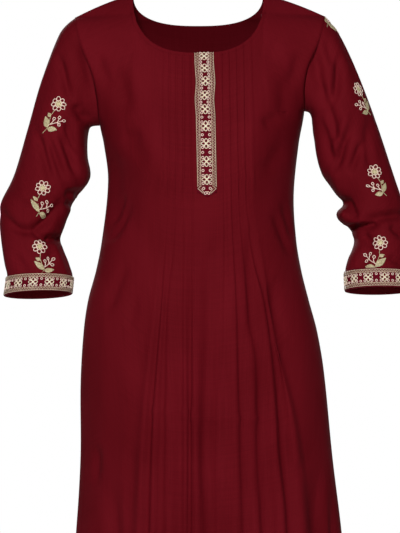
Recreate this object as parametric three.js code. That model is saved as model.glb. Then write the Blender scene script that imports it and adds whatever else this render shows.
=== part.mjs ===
// A salwar kameez in its worn shape: a pintucked kameez over a plain salwar.
//
// Millimetres, +Z up. The wearer faces -Y, so +X is the wearer's left. The origin lies between the
// shoulders, level with the high points where the shoulder seams meet the neckline, in the plane of
// the side seams. Heights are given as "down", the distance below that origin.
//
// Each panel is a grid of points: rows run across the cloth and columns run down it. A column is a
// thread line, so the pintucks and the pleats that open below them follow columns. A second grid,
// moved inwards by the cloth's thickness, closes the panel into one solid wall.

import * as THREE from "three";

const { clamp, lerp, smoothstep } = THREE.MathUtils;

// ---- Driving dimensions ------------------------------------------------------------------------

const CLOTH = 1.6; // thickness of every panel's wall
const BORDER = 1.4; // thickness of the embroidered bands
const SEAM = 0.3; // gap between pieces that are sewn to each other
const KAMEEZ_LENGTH = 1040;
const SLIT_TOP = 741; // where the side seams end and the slits start
const SLIT_HALF = 16; // half the width that a slit gapes at the hem

const NECK_X = -3; // the neckline sits a little off centre
const NECK_HALF = 104;
const NECK_FRONT = 101; // depth of the front neckline
const NECK_BACK = 46;
const NECK_SQUARE = 2.6; // exponent of the neckline's curve: 2 is an ellipse
const SHOULDER_X = 200;
const SHOULDER_BEND = 0.3; // the share of the shoulder seam's drop that comes late, as a curve

const PLACKET_HALF = 15.2;
const PLACKET_END = 320; // where the band's sides stop
const PLACKET_TIP = 328; // the point of its end
const TUCK_END = 326; // where the pintucks are released into pleats
const TUCK_HEIGHT = 1.8;
const TUCK_HALF = 1.2; // half the width of a tuck's fold
const PLEAT_HALF = 9; // half the width of a released pleat's fold at the hem
const PLEAT_HEIGHT = 8; // how far it stands out there

// The side edge of the body on each side: down the armhole to the underarm, then down the side seam.
const LEFT = {
  sign: -1,
  shoulder: 38,
  underarm: 211,
  edge: [
    { at: 38, x: 200 },
    { at: 83, x: 190 },
    { at: 131, x: 172 },
    { at: 170, x: 164 },
    { at: 211, x: 160 },
    { at: 240, x: 154 },
    { at: 298, x: 147 },
    { at: 394, x: 157 },
    { at: 442, x: 166 },
    { at: 490, x: 179 },
    { at: 538, x: 186 },
    { at: 620, x: 191 },
    { at: 741, x: 191 },
    { at: 858, x: 198 },
    { at: 1040, x: 211 },
  ],
};
const RIGHT = {
  sign: 1,
  shoulder: 36,
  underarm: 188,
  edge: [
    { at: 36, x: 200 },
    { at: 80, x: 188 },
    { at: 120, x: 172 },
    { at: 155, x: 166 },
    { at: 188, x: 167 },
    { at: 240, x: 158 },
    { at: 322, x: 150 },
    { at: 394, x: 154 },
    { at: 442, x: 162 },
    { at: 490, x: 174 },
    { at: 538, x: 187 },
    { at: 602, x: 198 },
    { at: 741, x: 212 },
    { at: 858, x: 226 },
    { at: 1040, x: 242 },
  ],
};

// How far the body's cloth stands in front of and behind the side seams, on the centre line.
const DEPTH = [
  { at: 0, front: 80, back: 74 },
  { at: 93, front: 88, back: 96 },
  { at: 150, front: 102, back: 104 },
  { at: 210, front: 117, back: 103 },
  { at: 270, front: 124, back: 97 },
  { at: 330, front: 118, back: 87 },
  { at: 400, front: 110, back: 82 },
  { at: 470, front: 112, back: 93 },
  { at: 540, front: 118, back: 112 },
  { at: 600, front: 122, back: 123 },
  { at: 680, front: 125, back: 129 },
  { at: 760, front: 127, back: 130 },
  { at: 1040, front: 134, back: 137 },
];
const ROLL = 150; // the drop over which the cloth rolls from the shoulder seam to its full depth
const ROLL_SHARPNESS = 0.62; // exponent of that roll: lower turns over the shoulder more sharply
const ARMHOLE_BOW = 52; // how far the armhole bows to the front and to the back
const ARMHOLE_SQUARE = 2.4; // exponent of its curve
// The body's section across: its squareness, and how steeply it closes at its edge. Between these two
// heights, given from the underarm, it turns from a panel between armholes into a closed round.
const SECTION = {
  chest: { square: 2.6, close: 0.85, from: -110 },
  waist: { square: 2.3, close: 0.5, to: 20 },
};
const BUST = { x: 88, down: 262, width: 50, height: 62, out: 13 };

// The thread lines of the pintucks, outermost first, and where the pleats below them run.
const FOLDS = {
  left: [
    { neck: -60, release: -60, waist: -65, hip: -74, thigh: -95, hem: -110 },
    { neck: -49, release: -50, waist: -53, hip: -60, thigh: -74, hem: -80 },
    { neck: -38, release: -38, waist: -40, hip: -50, thigh: -53, hem: -57 },
    { neck: -27, release: -26, waist: -25, hip: -26, thigh: -26, hem: -28 },
    { neck: -16, release: -14, waist: -12, hip: -12, thigh: -12, hem: -12 },
  ],
  right: [
    { neck: 79, release: 82, waist: 95, hip: 112, thigh: 152, hem: 188 },
    { neck: 68, release: 71, waist: 80, hip: 102, thigh: 125, hem: 140 },
    { neck: 56, release: 60, waist: 65, hip: 78, thigh: 93, hem: 108 },
    { neck: 45, release: 48, waist: 51, hip: 56, thigh: 60, hem: 70 },
    { neck: 34, release: 36, waist: 37, hip: 36, thigh: 33, hem: 31 },
  ],
};
const FOLD_STATIONS = { neck: 90, release: TUCK_END, waist: 400, hip: 500, thigh: 700, hem: 1040 };
const CENTRE = [{ neck: 6, release: 11, waist: 10, hip: 9, thigh: 9, hem: 9 }];

// The sleeves, ring by ring from the armhole: the outer and inner ends of each ring as the sleeve is
// seen from the front, half its depth, the middle's place front to back, and how far the ring's front
// is lifted where the forearm reaches forward.
const SLEEVE_LEFT = [
  { at: 0, outX: -200, outDown: 38, inX: -160, inDown: 211, deep: 52, mid: 0, lift: 0 },
  { at: 1, outX: -224, outDown: 63, inX: -175, inDown: 213, deep: 54, mid: -1, lift: 0 },
  { at: 2, outX: -252, outDown: 136, inX: -180, inDown: 230, deep: 54, mid: -1, lift: 0 },
  { at: 3, outX: -273, outDown: 210, inX: -180, inDown: 260, deep: 54, mid: 0, lift: 0 },
  { at: 4, outX: -296, outDown: 286, inX: -176, inDown: 294, deep: 55, mid: 2, lift: 1 },
  { at: 5, outX: -318, outDown: 333, inX: -198, inDown: 329, deep: 54, mid: 2, lift: 3 },
  { at: 6, outX: -320, outDown: 362, inX: -211, inDown: 358, deep: 51, mid: -3, lift: 5 },
  { at: 7, outX: -317, outDown: 395, inX: -222, inDown: 393, deep: 48, mid: -10, lift: 6 },
  { at: 8, outX: -312, outDown: 430, inX: -209, inDown: 432, deep: 47, mid: -18, lift: 7 },
  { at: 9, outX: -307, outDown: 454, inX: -203, inDown: 453, deep: 47, mid: -23, lift: 7 },
  { at: 10, outX: -310, outDown: 483, inX: -205, inDown: 479, deep: 48, mid: -28, lift: 7 },
];
const SLEEVE_RIGHT = [
  { at: 0, outX: 200, outDown: 36, inX: 167, inDown: 188, deep: 52, mid: 0, lift: 0 },
  { at: 1, outX: 222, outDown: 64, inX: 175, inDown: 191, deep: 54, mid: -1, lift: 0 },
  { at: 2, outX: 250, outDown: 122, inX: 178, inDown: 209, deep: 54, mid: -1, lift: 0 },
  { at: 3, outX: 273, outDown: 181, inX: 181, inDown: 231, deep: 54, mid: 0, lift: 0 },
  { at: 4, outX: 307, outDown: 281, inX: 193, inDown: 283, deep: 55, mid: 2, lift: 1 },
  { at: 5, outX: 325, outDown: 333, inX: 227, inDown: 331, deep: 53, mid: 2, lift: 3 },
  { at: 6, outX: 331, outDown: 362, inX: 226, inDown: 360, deep: 51, mid: -3, lift: 5 },
  { at: 7, outX: 334, outDown: 392, inX: 246, inDown: 392, deep: 48, mid: -10, lift: 6 },
  { at: 8, outX: 336, outDown: 425, inX: 235, inDown: 425, deep: 47, mid: -18, lift: 7 },
  { at: 9, outX: 336, outDown: 445, inX: 231, inDown: 445, deep: 47, mid: -22, lift: 7 },
  { at: 10, outX: 336, outDown: 474, inX: 232, inDown: 475, deep: 48, mid: -27, lift: 7 },
];
const CUFF_RING = 9; // the cuff's band runs from this ring to the last

// The largest folds in the sleeves, on the front of each: a line from one place to another, by ring and
// by angle round the sleeve in degrees (0 outside, 90 front, 180 inside). Depth is inwards.
const SLEEVE_FOLDS = {
  left: [
    { ring: 5.2, turn: 20, toRing: 5.6, toTurn: 150, width: 9, depth: 4.5 },
    { ring: 6.2, turn: 60, toRing: 6.9, toTurn: 165, width: 9, depth: 4 },
    { ring: 2.6, turn: 50, toRing: 4, toTurn: 110, width: 8, depth: 2.5 },
    { ring: 2.2, turn: 130, toRing: 3.2, toTurn: 165, width: 8, depth: 3.5 },
    { ring: 5.3, turn: 200, toRing: 5.5, toTurn: 320, width: 9, depth: 4 },
    { ring: 3.6, turn: 230, toRing: 4.6, toTurn: 290, width: 9, depth: 3 },
  ],
  right: [
    { ring: 5.3, turn: 25, toRing: 5.6, toTurn: 150, width: 9, depth: 4.5 },
    { ring: 6.4, turn: 70, toRing: 6.9, toTurn: 165, width: 9, depth: 4 },
    { ring: 0.6, turn: 80, toRing: 2, toTurn: 118, width: 9, depth: 4.5 },
    { ring: 3.2, turn: 140, toRing: 4.3, toTurn: 120, width: 8, depth: 3 },
    { ring: 5.3, turn: 200, toRing: 5.5, toTurn: 320, width: 9, depth: 4 },
    { ring: 3.4, turn: 240, toRing: 4.5, toTurn: 290, width: 9, depth: 3 },
  ],
};

// The salwar hangs inside the kameez. Its hips have the kameez's own section, moved in by an ease that
// is least at the seat, where the kameez rests on it, and each leg has its own centre and radii.
const WAIST_TOP = 432;
const WAIST_SEAM = 468;
const CROTCH = 700;
const LEGS_PART = { from: 600, to: 720 }; // where the hips' section turns into two legs
const ANKLE_SEAM = 1244;
const SALWAR_LENGTH = 1290;
const SALWAR_SLACK = 3.5; // extra ease away from the middle of the seat
const SALWAR_EASE = [
  { at: 432, inset: 9 },
  { at: 510, inset: 6 },
  { at: 550, inset: 3 },
  { at: 595, inset: 0.5 },
  { at: 640, inset: 3 },
  { at: 700, inset: 9 },
  { at: 760, inset: 14 },
];
const LEG = [
  { at: 640, x: 92, y: 2, wide: 86, deep: 92 },
  { at: 700, x: 92, y: 2, wide: 85, deep: 88 },
  { at: 800, x: 95, y: 4, wide: 84, deep: 86 },
  { at: 950, x: 100, y: 8, wide: 80, deep: 84 },
  { at: 1100, x: 104, y: 12, wide: 73, deep: 79 },
  { at: 1244, x: 106, y: 18, wide: 64, deep: 73 },
  { at: 1290, x: 106, y: 18, wide: 63, deep: 72 },
];

// ---- Finishes ----------------------------------------------------------------------------------

const finish = (color, roughness) => new THREE.MeshStandardMaterial({ color, roughness, metalness: 0 });
const kameezCloth = finish(0x62121b, 0.6);
const salwarCloth = finish(0x5c1119, 0.65);
const borderCloth = finish(0xcdae92, 0.7);

// ---- Curves ------------------------------------------------------------------------------------

// One column of a table at a station between its rows, on a smooth curve through them.
function follow(rows, key, station) {
  const last = rows.length - 1;
  const place = clamp(station, rows[0].at, rows[last].at);
  const i = Math.max(0, rows.findLastIndex((row, k) => k < last && row.at <= place));
  const slope = (k) => {
    const before = rows[Math.max(k - 1, 0)];
    const after = rows[Math.min(k + 1, last)];
    return (after[key] - before[key]) / (after.at - before.at);
  };
  const span = rows[i + 1].at - rows[i].at;
  const t = (place - rows[i].at) / span;
  const rise = t * t * (3 - 2 * t);
  const bends = t * (1 - t) ** 2 * slope(i) - t * t * (1 - t) * slope(i + 1);
  return lerp(rows[i][key], rows[i + 1][key], rise) + span * bends;
}

// Where a fold's thread line runs at a height.
function foldX(fold, down) {
  const rows = Object.entries(FOLD_STATIONS).map(([name, at]) => ({ at, x: fold[name] }));
  return follow(rows, "x", down);
}

const sideOf = (x) => (x < NECK_X ? LEFT : RIGHT);
const edgeX = (side, down) => follow(side.edge, "x", down);

// How far the shoulder seam has dropped at a place across the body: nothing inside the neck points.
function shoulderDrop(x) {
  const side = sideOf(x);
  const neck = NECK_HALF + side.sign * NECK_X;
  const out = clamp((Math.abs(x) - neck) / (SHOULDER_X - neck), 0, 1);
  return side.shoulder * ((1 - SHOULDER_BEND) * out + SHOULDER_BEND * out * out);
}

// The top of the cloth at a place across it: the neckline, or the shoulder seam outside it.
function topEdge(x, neckDepth) {
  const across = Math.abs(x - NECK_X) / NECK_HALF;
  if (across >= 1) return shoulderDrop(x);
  return neckDepth * (1 - across ** NECK_SQUARE) ** (1 / NECK_SQUARE);
}

// How far the panel's side edge stands from the plane of the side seams: bowed round the armhole,
// closed along the side seam, and gaping a little in the slit.
function edgeDepth(side, down) {
  const around = (2 * (down - side.shoulder)) / (side.underarm - side.shoulder) - 1;
  if (Math.abs(around) < 1) return ARMHOLE_BOW * Math.sqrt(1 - Math.abs(around) ** ARMHOLE_SQUARE);
  return SLIT_HALF * smoothstep(down, SLIT_TOP, KAMEEZ_LENGTH);
}

// How far the body's smooth cloth stands from the plane of the side seams.
function bodyDepth(x, down, face) {
  const side = sideOf(x);
  const { chest, waist } = SECTION;
  const out = clamp(Math.abs(x) / edgeX(side, down), 0, 1);
  const below = smoothstep(down, side.underarm + chest.from, side.underarm + waist.to);
  const closing = lerp(chest.close, waist.close, below);
  const across = (1 - out ** lerp(chest.square, waist.square, below)) ** closing;
  const rolled = clamp((down - shoulderDrop(x)) / ROLL, 0, 1);
  const roll = Math.sin((Math.PI / 2) * rolled) ** ROLL_SHARPNESS;
  const edge = edgeDepth(side, down);
  const bust = face === "front" ? bustRise(x, down) : 0;
  return Math.max(edge + (follow(DEPTH, face, down) * roll - edge) * across + bust * across, 0);
}

function bustRise(x, down) {
  const across = (Math.abs(x) - BUST.x) / BUST.width;
  const up = (down - BUST.down) / BUST.height;
  return BUST.out * Math.exp(-across * across - up * up);
}

const bodyPoint = (x, down, face) => {
  const toBack = face === "front" ? -1 : 1;
  return new THREE.Vector3(x, toBack * Math.max(bodyDepth(x, down, face), SEAM / 2), -down);
};

// ---- Walls -------------------------------------------------------------------------------------

// The outward direction at each point of a grid whose rows run anticlockwise seen from above.
function outwards(grid, round) {
  const columns = grid[0].length;
  return grid.map((row, i) =>
    row.map((_, j) => {
      const above = grid[Math.max(i - 1, 0)][j];
      const below = grid[Math.min(i + 1, grid.length - 1)][j];
      const before = round ? row[(j + columns - 1) % columns] : row[Math.max(j - 1, 0)];
      const after = round ? row[(j + 1) % columns] : row[Math.min(j + 1, columns - 1)];
      const downwards = below.clone().sub(above);
      return downwards.cross(after.clone().sub(before)).normalize();
    }),
  );
}

const moved = (grid, directions, distance) =>
  grid.map((row, i) =>
    row.map((point, j) => point.clone().addScaledVector(directions[i][j], distance(i, j))),
  );

// An outer and an inner grid of the same size, joined round their edges into one closed solid.
function wall(outer, inner, round = false) {
  const [rows, columns] = [outer.length, outer[0].length];
  const out = (i, j) => i * columns + (j % columns);
  const into = (i, j) => rows * columns + out(i, j);
  const index = [];
  const quad = (a, b, c, d) => index.push(a, b, c, a, c, d);
  const end = round ? columns : columns - 1;
  for (let j = 0; j < end; j++) {
    for (let i = 0; i < rows - 1; i++) {
      quad(out(i, j), out(i + 1, j), out(i + 1, j + 1), out(i, j + 1));
      quad(into(i, j), into(i, j + 1), into(i + 1, j + 1), into(i + 1, j));
    }
    quad(out(0, j), out(0, j + 1), into(0, j + 1), into(0, j));
    quad(out(rows - 1, j + 1), out(rows - 1, j), into(rows - 1, j), into(rows - 1, j + 1));
  }
  for (let i = 0; i < rows - 1 && !round; i++) {
    quad(out(i + 1, 0), out(i, 0), into(i, 0), into(i + 1, 0));
    quad(out(i, end), out(i + 1, end), into(i + 1, end), into(i, end));
  }
  const geometry = new THREE.BufferGeometry();
  const points = [...outer.flat(), ...inner.flat()].flatMap((p) => [p.x, p.y, p.z]);
  geometry.setAttribute("position", new THREE.Float32BufferAttribute(points, 3));
  geometry.setIndex(index);
  geometry.computeVertexNormals();
  return geometry;
}

function piece(name, geometry, material) {
  const mesh = new THREE.Mesh(geometry, material);
  mesh.name = name;
  return mesh;
}

// ---- The body's panels -------------------------------------------------------------------------

// Rows 0 to ARM_ROWS run from the top edge to the underarm, closest at both ends, so that the points
// down an armhole lie evenly round it. A few rows then level out, and those below them are level.
const ARM_ROWS = 10;
const EASING = [0.25, 0.6];
const SETTLE = { from: 60, to: 300 }; // where the side columns crowd towards the side seam
const LEVELS = [
  262, 292, PLACKET_END, PLACKET_TIP, 350, 375, 405, 440, 475, 510, 550, 595, 640, 690,
  SLIT_TOP, 790, 850, 915, 980, KAMEEZ_LENGTH,
];

function columnHeights(topX, neckDepth) {
  const top = topEdge(topX, neckDepth);
  const rightwards = (topX + SHOULDER_X) / (2 * SHOULDER_X);
  const underarm = lerp(LEFT.underarm, RIGHT.underarm, rightwards);
  const arm = Array.from({ length: ARM_ROWS + 1 }, (_, i) => {
    return lerp(top, underarm, (1 - Math.cos((Math.PI * i) / ARM_ROWS)) / 2);
  });
  return [...arm, ...EASING.map((share) => lerp(underarm, LEVELS[0], share)), ...LEVELS];
}

// Columns between a side edge and the line of a fold. They start evenly along the shoulder seam and
// the neckline, and lower down they crowd towards the side seam, where the body turns.
function sideColumns(side, line, tops) {
  return tops.map((top, k) => {
    const start = (Math.abs(top) - Math.abs(line(0))) / (SHOULDER_X - Math.abs(line(0)));
    const settled = Math.cos((Math.PI / 2) * (k / tops.length));
    return {
      top: side.sign * top,
      x: (down) => {
        const inner = Math.abs(line(down));
        const crowding = smoothstep(down, SETTLE.from, SETTLE.to);
        const share = k === 0 ? 1 : lerp(start, settled, crowding);
        return side.sign * lerp(inner, edgeX(side, down), share);
      },
    };
  });
}

// The two thread lines of a tuck: its raised fold, and the foot beside it on the side away from the
// placket. Below the release they move apart and the fold becomes a soft pleat.
function foldColumns(side, fold) {
  const spread = (down) => lerp(TUCK_HALF, PLEAT_HALF, smoothstep(down, TUCK_END, KAMEEZ_LENGTH));
  const column = (part, away) => ({
    part,
    top: fold.neck + away * side.sign * TUCK_HALF,
    x: (down) => foldX(fold, down) + away * side.sign * spread(down),
  });
  const pair = [column("foot", 1), column("crest", -1)];
  return side === LEFT ? pair : pair.reverse();
}

const centreX = (down) => foldX(CENTRE[0], down);
const centreColumns = [-1, 0, 1].map((across) => ({
  part: "placket",
  top: centreX(0) + across * PLACKET_HALF,
  x: (down) => centreX(down) + across * PLACKET_HALF,
}));

// Where the side columns start: along the shoulder seam to the neck point, then down the neckline.
function sideTops(side) {
  const neck = NECK_HALF + side.sign * NECK_X;
  const seam = [0, 0.25, 0.5, 0.75].map((share) => lerp(SHOULDER_X, neck, share));
  const curve = [1, 0.965, 0.9, 0.8].map((share) => side.sign * NECK_X + NECK_HALF * share);
  return [...seam, ...curve];
}

const frontColumns = [
  ...sideColumns(LEFT, (down) => foldX(FOLDS.left[0], down) - TUCK_HALF, sideTops(LEFT)),
  ...FOLDS.left.flatMap((fold) => foldColumns(LEFT, fold)),
  ...centreColumns,
  ...[...FOLDS.right].reverse().flatMap((fold) => foldColumns(RIGHT, fold)),
  ...sideColumns(RIGHT, (down) => foldX(FOLDS.right[0], down) + TUCK_HALF, sideTops(RIGHT)).reverse(),
];

// The back has no tucks, so its middle columns start evenly along the neckline.
const BACK_MIDDLE = [-60, -30, 0, 30, 60];
const BACK_FLARE = { wider: 1.25, from: 400, to: 1000 };
const flared = (x, down) => x * lerp(1, BACK_FLARE.wider, smoothstep(down, BACK_FLARE.from, BACK_FLARE.to));
const backColumns = [
  ...sideColumns(LEFT, () => BACK_MIDDLE[0], sideTops(LEFT)),
  ...BACK_MIDDLE.map((x) => ({ top: x, x: (down) => flared(x, down) })),
  ...sideColumns(RIGHT, () => BACK_MIDDLE.at(-1), sideTops(RIGHT)).reverse(),
].reverse();

// The smooth cloth of a panel, with the released pleats in it but not the tucks.
function panelGrid(columns, face, neckDepth) {
  const heights = columns.map((column) => columnHeights(column.top, neckDepth));
  return heights[0].map((_, i) =>
    columns.map((column, j) => {
      const down = heights[j][i];
      const point = bodyPoint(i === 0 ? column.top : column.x(down), down, face);
      const open = PLEAT_HEIGHT * smoothstep(down, TUCK_END, KAMEEZ_LENGTH);
      if (column.part === "crest") point.y -= open / 2;
      if (column.part === "foot") point.y += open / 2;
      return point;
    }),
  );
}

// The wall's direction at each point. Along a seam it lies in the seam's plane, so that the edges of
// two panels face each other across an even gap.
function panelDirections(grid) {
  const directions = outwards(grid);
  const last = grid[0].length - 1;
  const flatten = (direction) => direction.setY(0).normalize();
  directions[0].forEach((direction, j) => {
    if (Math.abs(grid[0][j].x - NECK_X) >= NECK_HALF) flatten(direction);
  });
  directions.forEach((row, i) => {
    if (i >= ARM_ROWS) [row[0], row[last]].forEach(flatten);
  });
  return directions;
}

function panel(columns, face, neckDepth) {
  const smooth = panelGrid(columns, face, neckDepth);
  const directions = panelDirections(smooth);
  const tuck = (i, j) => {
    const inTuck = columns[j].part === "crest" && -smooth[i][j].z < TUCK_END;
    return inTuck ? TUCK_HEIGHT : 0;
  };
  return {
    smooth,
    directions,
    geometry: wall(moved(smooth, directions, tuck), moved(smooth, directions, () => -CLOTH)),
  };
}

// The placket's band lies on the front's middle columns, from the neckline to a pointed end.
function placketGeometry(front) {
  const first = frontColumns.findIndex((column) => column.part === "placket");
  const rows = ARM_ROWS + EASING.length + 2 + LEVELS.indexOf(PLACKET_END);
  const cut = (grid) => grid.slice(0, rows).map((row) => row.slice(first, first + 3));
  const base = cut(front.smooth);
  const tip = front.smooth[rows][first + 1];
  base[rows - 1][1] = tip;
  const directions = cut(front.directions);
  const under = moved(base, directions, () => SEAM);
  const over = moved(base, directions, () => SEAM + BORDER);
  return wall(over, under);
}

// ---- The sleeves -------------------------------------------------------------------------------

const SLEEVE_COLUMNS = 2 * ARM_ROWS;

// A point on the armhole's edge of the body, by its angle round from the shoulder.
function armholePoint(side, turn) {
  const down = lerp(side.shoulder, side.underarm, (1 - Math.cos(turn)) / 2);
  const depth = Math.max(edgeDepth(side, down), SEAM / 2);
  const toBack = Math.sin(turn) > 0 ? -1 : 1;
  return new THREE.Vector3(side.sign * edgeX(side, down), toBack * depth, -down);
}

// How deep the folds are at a place. One ring is as far as RING_TURN degrees round, and a fold keeps
// a little of its depth at its two ends.
const RING_TURN = 30;
const FOLD_END = 0.06;

function foldDepth(folds, ring, degrees) {
  return folds.reduce((total, fold) => {
    const along = new THREE.Vector2(fold.toRing - fold.ring, (fold.toTurn - fold.turn) / RING_TURN);
    const here = new THREE.Vector2(ring - fold.ring, (degrees - fold.turn) / RING_TURN);
    const share = clamp(here.dot(along) / along.lengthSq(), 0, 1);
    const off = here.addScaledVector(along, -share).length() * RING_TURN;
    const ends = Math.sin(Math.PI * clamp(share, FOLD_END, 1 - FOLD_END));
    return total + fold.depth * ends * Math.exp(-((off / fold.width) ** 2));
  }, 0);
}

// A point of the sleeve, by its ring and its angle round: 0 outside, then the front.
function sleevePoint(side, rings, ring, turn) {
  const value = (key) => follow(rings, key, ring);
  const outer = new THREE.Vector3(value("outX"), value("mid"), -value("outDown"));
  const inner = new THREE.Vector3(value("inX"), value("mid"), -value("inDown"));
  const middle = outer.clone().lerp(inner, 0.5);
  const toFront = new THREE.Vector3(0, -value("deep"), value("lift"));
  const half = outer.sub(middle);
  return middle.addScaledVector(half, Math.cos(turn)).addScaledVector(toFront, Math.sin(turn));
}

const SLEEVE_RINGS = [0, 0.5, 1, 1.5, 2, 2.5, 3, 3.5, 4, 4.5, 5, 5.5, 6, 6.5, 7, 8, 9, 10];

function sleeve(side, rings, folds) {
  const turnAt = (j) => (2 * Math.PI * j) / SLEEVE_COLUMNS;
  const order = Array.from({ length: SLEEVE_COLUMNS }, (_, j) => (side === LEFT ? j : -j));
  const smooth = SLEEVE_RINGS.map((ring) =>
    order.map((j) => {
      const round = sleevePoint(side, rings, ring, turnAt(j));
      const start = armholePoint(side, turnAt((j + SLEEVE_COLUMNS) % SLEEVE_COLUMNS));
      start.x += side.sign * SEAM;
      return start.lerp(round, smoothstep(ring, 0, 1));
    }),
  );
  const directions = outwards(smooth, true);
  directions[0].forEach((direction) => {
    if (direction.x * side.sign < 0) return;
    direction.setX(0).normalize();
  });
  const creased = moved(smooth, directions, (i, j) => {
    const degrees = (360 * ((order[j] + SLEEVE_COLUMNS) % SLEEVE_COLUMNS)) / SLEEVE_COLUMNS;
    return -foldDepth(folds, SLEEVE_RINGS[i], degrees);
  });
  const inner = moved(creased, directions, () => -CLOTH);
  const bandFrom = SLEEVE_RINGS.indexOf(CUFF_RING);
  const band = creased.slice(bandFrom);
  const bandDirections = directions.slice(bandFrom);
  return {
    geometry: wall(creased, inner, true),
    band: wall(
      moved(band, bandDirections, () => SEAM + BORDER),
      moved(band, bandDirections, () => SEAM),
      true,
    ),
  };
}

// ---- The salwar --------------------------------------------------------------------------------

// The cloth of the hips by its share round one half: 0 at the centre front and 1 at the centre back.
function hipPoint(side, down, share) {
  const turn = Math.PI * share;
  const slack = share < 0.5 ? SALWAR_SLACK : SALWAR_SLACK * Math.sin(turn);
  const inset = CLOTH + follow(SALWAR_EASE, "inset", down) + slack;
  const width = (edgeX(side, down) - inset) * Math.sin(turn) ** (2 / SECTION.waist.square);
  const depth = (follow(DEPTH, share < 0.5 ? "front" : "back", down) - inset) * Math.cos(turn);
  return new THREE.Vector3(side.sign * Math.max(width, SEAM / 2), -depth, -down);
}

// A leg's cloth by its share round, from its inside seam over the front and the back to that seam.
function legPoint(side, down, share) {
  const value = (key) => follow(LEG, key, down);
  const turn = 2 * Math.PI * share;
  const x = value("x") - value("wide") * Math.cos(turn);
  const seam = share < 0.5 ? -SEAM / 2 : SEAM / 2;
  const y = value("y") - value("deep") * Math.sin(turn) + seam;
  return new THREE.Vector3(side.sign * x, y, -down);
}

const shares = (count) => Array.from({ length: count + 1 }, (_, k) => k / count);
const LEG_COLUMNS = 20;
const LEG_LEVELS = [
  WAIST_SEAM + SEAM, 510, 550, 595, 640, 668, CROTCH, 735, 790, 870, 960, 1060, 1150,
  ANKLE_SEAM - SEAM,
];

// One leg with its half of the hips. It opens into two edges, which meet the other leg down to the
// crotch and each other below it.
function legGeometry(side) {
  const round = side === LEFT ? shares(LEG_COLUMNS).reverse() : shares(LEG_COLUMNS);
  const outer = LEG_LEVELS.map((down) =>
    round.map((share) => {
      const legness = smoothstep(down, LEGS_PART.from, LEGS_PART.to);
      return hipPoint(side, down, share).lerp(legPoint(side, down, share), legness);
    }),
  );
  const directions = outwards(outer);
  directions.forEach((row, i) => {
    for (const direction of [row[0], row[LEG_COLUMNS]]) {
      if (LEG_LEVELS[i] <= CROTCH) direction.setX(0).normalize();
      else direction.setY(0).normalize();
    }
  });
  return wall(outer, moved(outer, directions, () => -CLOTH));
}

// A closed band of cloth between two heights, from a function that gives its points at a height.
function bandGeometry(heights, ringAt, thickness) {
  const outer = heights.map(ringAt);
  return wall(outer, moved(outer, outwards(outer, true), () => -thickness), true);
}

const WAIST_COLUMNS = 12;
const WAIST_MIDDLE = 450;

function waistRing(down) {
  const half = shares(WAIST_COLUMNS);
  const left = [...half].reverse().map((share) => hipPoint(LEFT, down, share));
  const right = half.map((share) => hipPoint(RIGHT, down, share));
  return [...left.slice(1, -1), right[0], ...right.slice(1)];
}

function ankleRing(side, down) {
  const round = shares(LEG_COLUMNS).slice(0, -1);
  const ring = round.map((share) => legPoint(side, down, share));
  return side === LEFT ? ring.reverse() : ring;
}

// ---- The garments ------------------------------------------------------------------------------

const garments = new THREE.Group();
const front = panel(frontColumns, "front", NECK_FRONT);
const back = panel(backColumns, "back", NECK_BACK);
garments.add(
  piece("kameez_front", front.geometry, kameezCloth),
  piece("kameez_back", back.geometry, kameezCloth),
  piece("placket", placketGeometry(front), borderCloth),
);
const arms = [
  ["left", LEFT, SLEEVE_LEFT],
  ["right", RIGHT, SLEEVE_RIGHT],
];
for (const [name, side, rings] of arms) {
  const made = sleeve(side, rings, SLEEVE_FOLDS[name]);
  garments.add(
    piece(`sleeve_${name}`, made.geometry, kameezCloth),
    piece(`cuff_band_${name}`, made.band, borderCloth),
    piece(`salwar_leg_${name}`, legGeometry(side), salwarCloth),
  );
  const ankle = bandGeometry([ANKLE_SEAM, SALWAR_LENGTH], (down) => ankleRing(side, down), CLOTH);
  garments.add(piece(`salwar_ankle_band_${name}`, ankle, salwarCloth));
}
const casing = bandGeometry([WAIST_TOP, WAIST_MIDDLE, WAIST_SEAM], waistRing, CLOTH);
garments.add(piece("salwar_waist_casing", casing, salwarCloth));

export default garments;
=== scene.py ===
# %% [markdown]
# # A worn salwar kameez
#
# A kameez is a long tunic, cut as a front, a back and two sleeves, and worn over a salwar, a pair of
# trousers. This one is wine red and plain, with pintucks over the chest, an embroidered band down the
# middle, bands on both cuffs and small flower sprigs on the sleeves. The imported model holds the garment's
# worn shape in plain walls. This lesson makes the cloth itself on that shape: its tucks, folds and edges,
# then the embroidery, thread by thread, and last the finishes and the light.
#
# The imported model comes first, because every piece is made in its frame.

import math

import bmesh
import bpy
import numpy as np
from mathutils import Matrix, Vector
from mathutils.bvhtree import BVHTree


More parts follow.
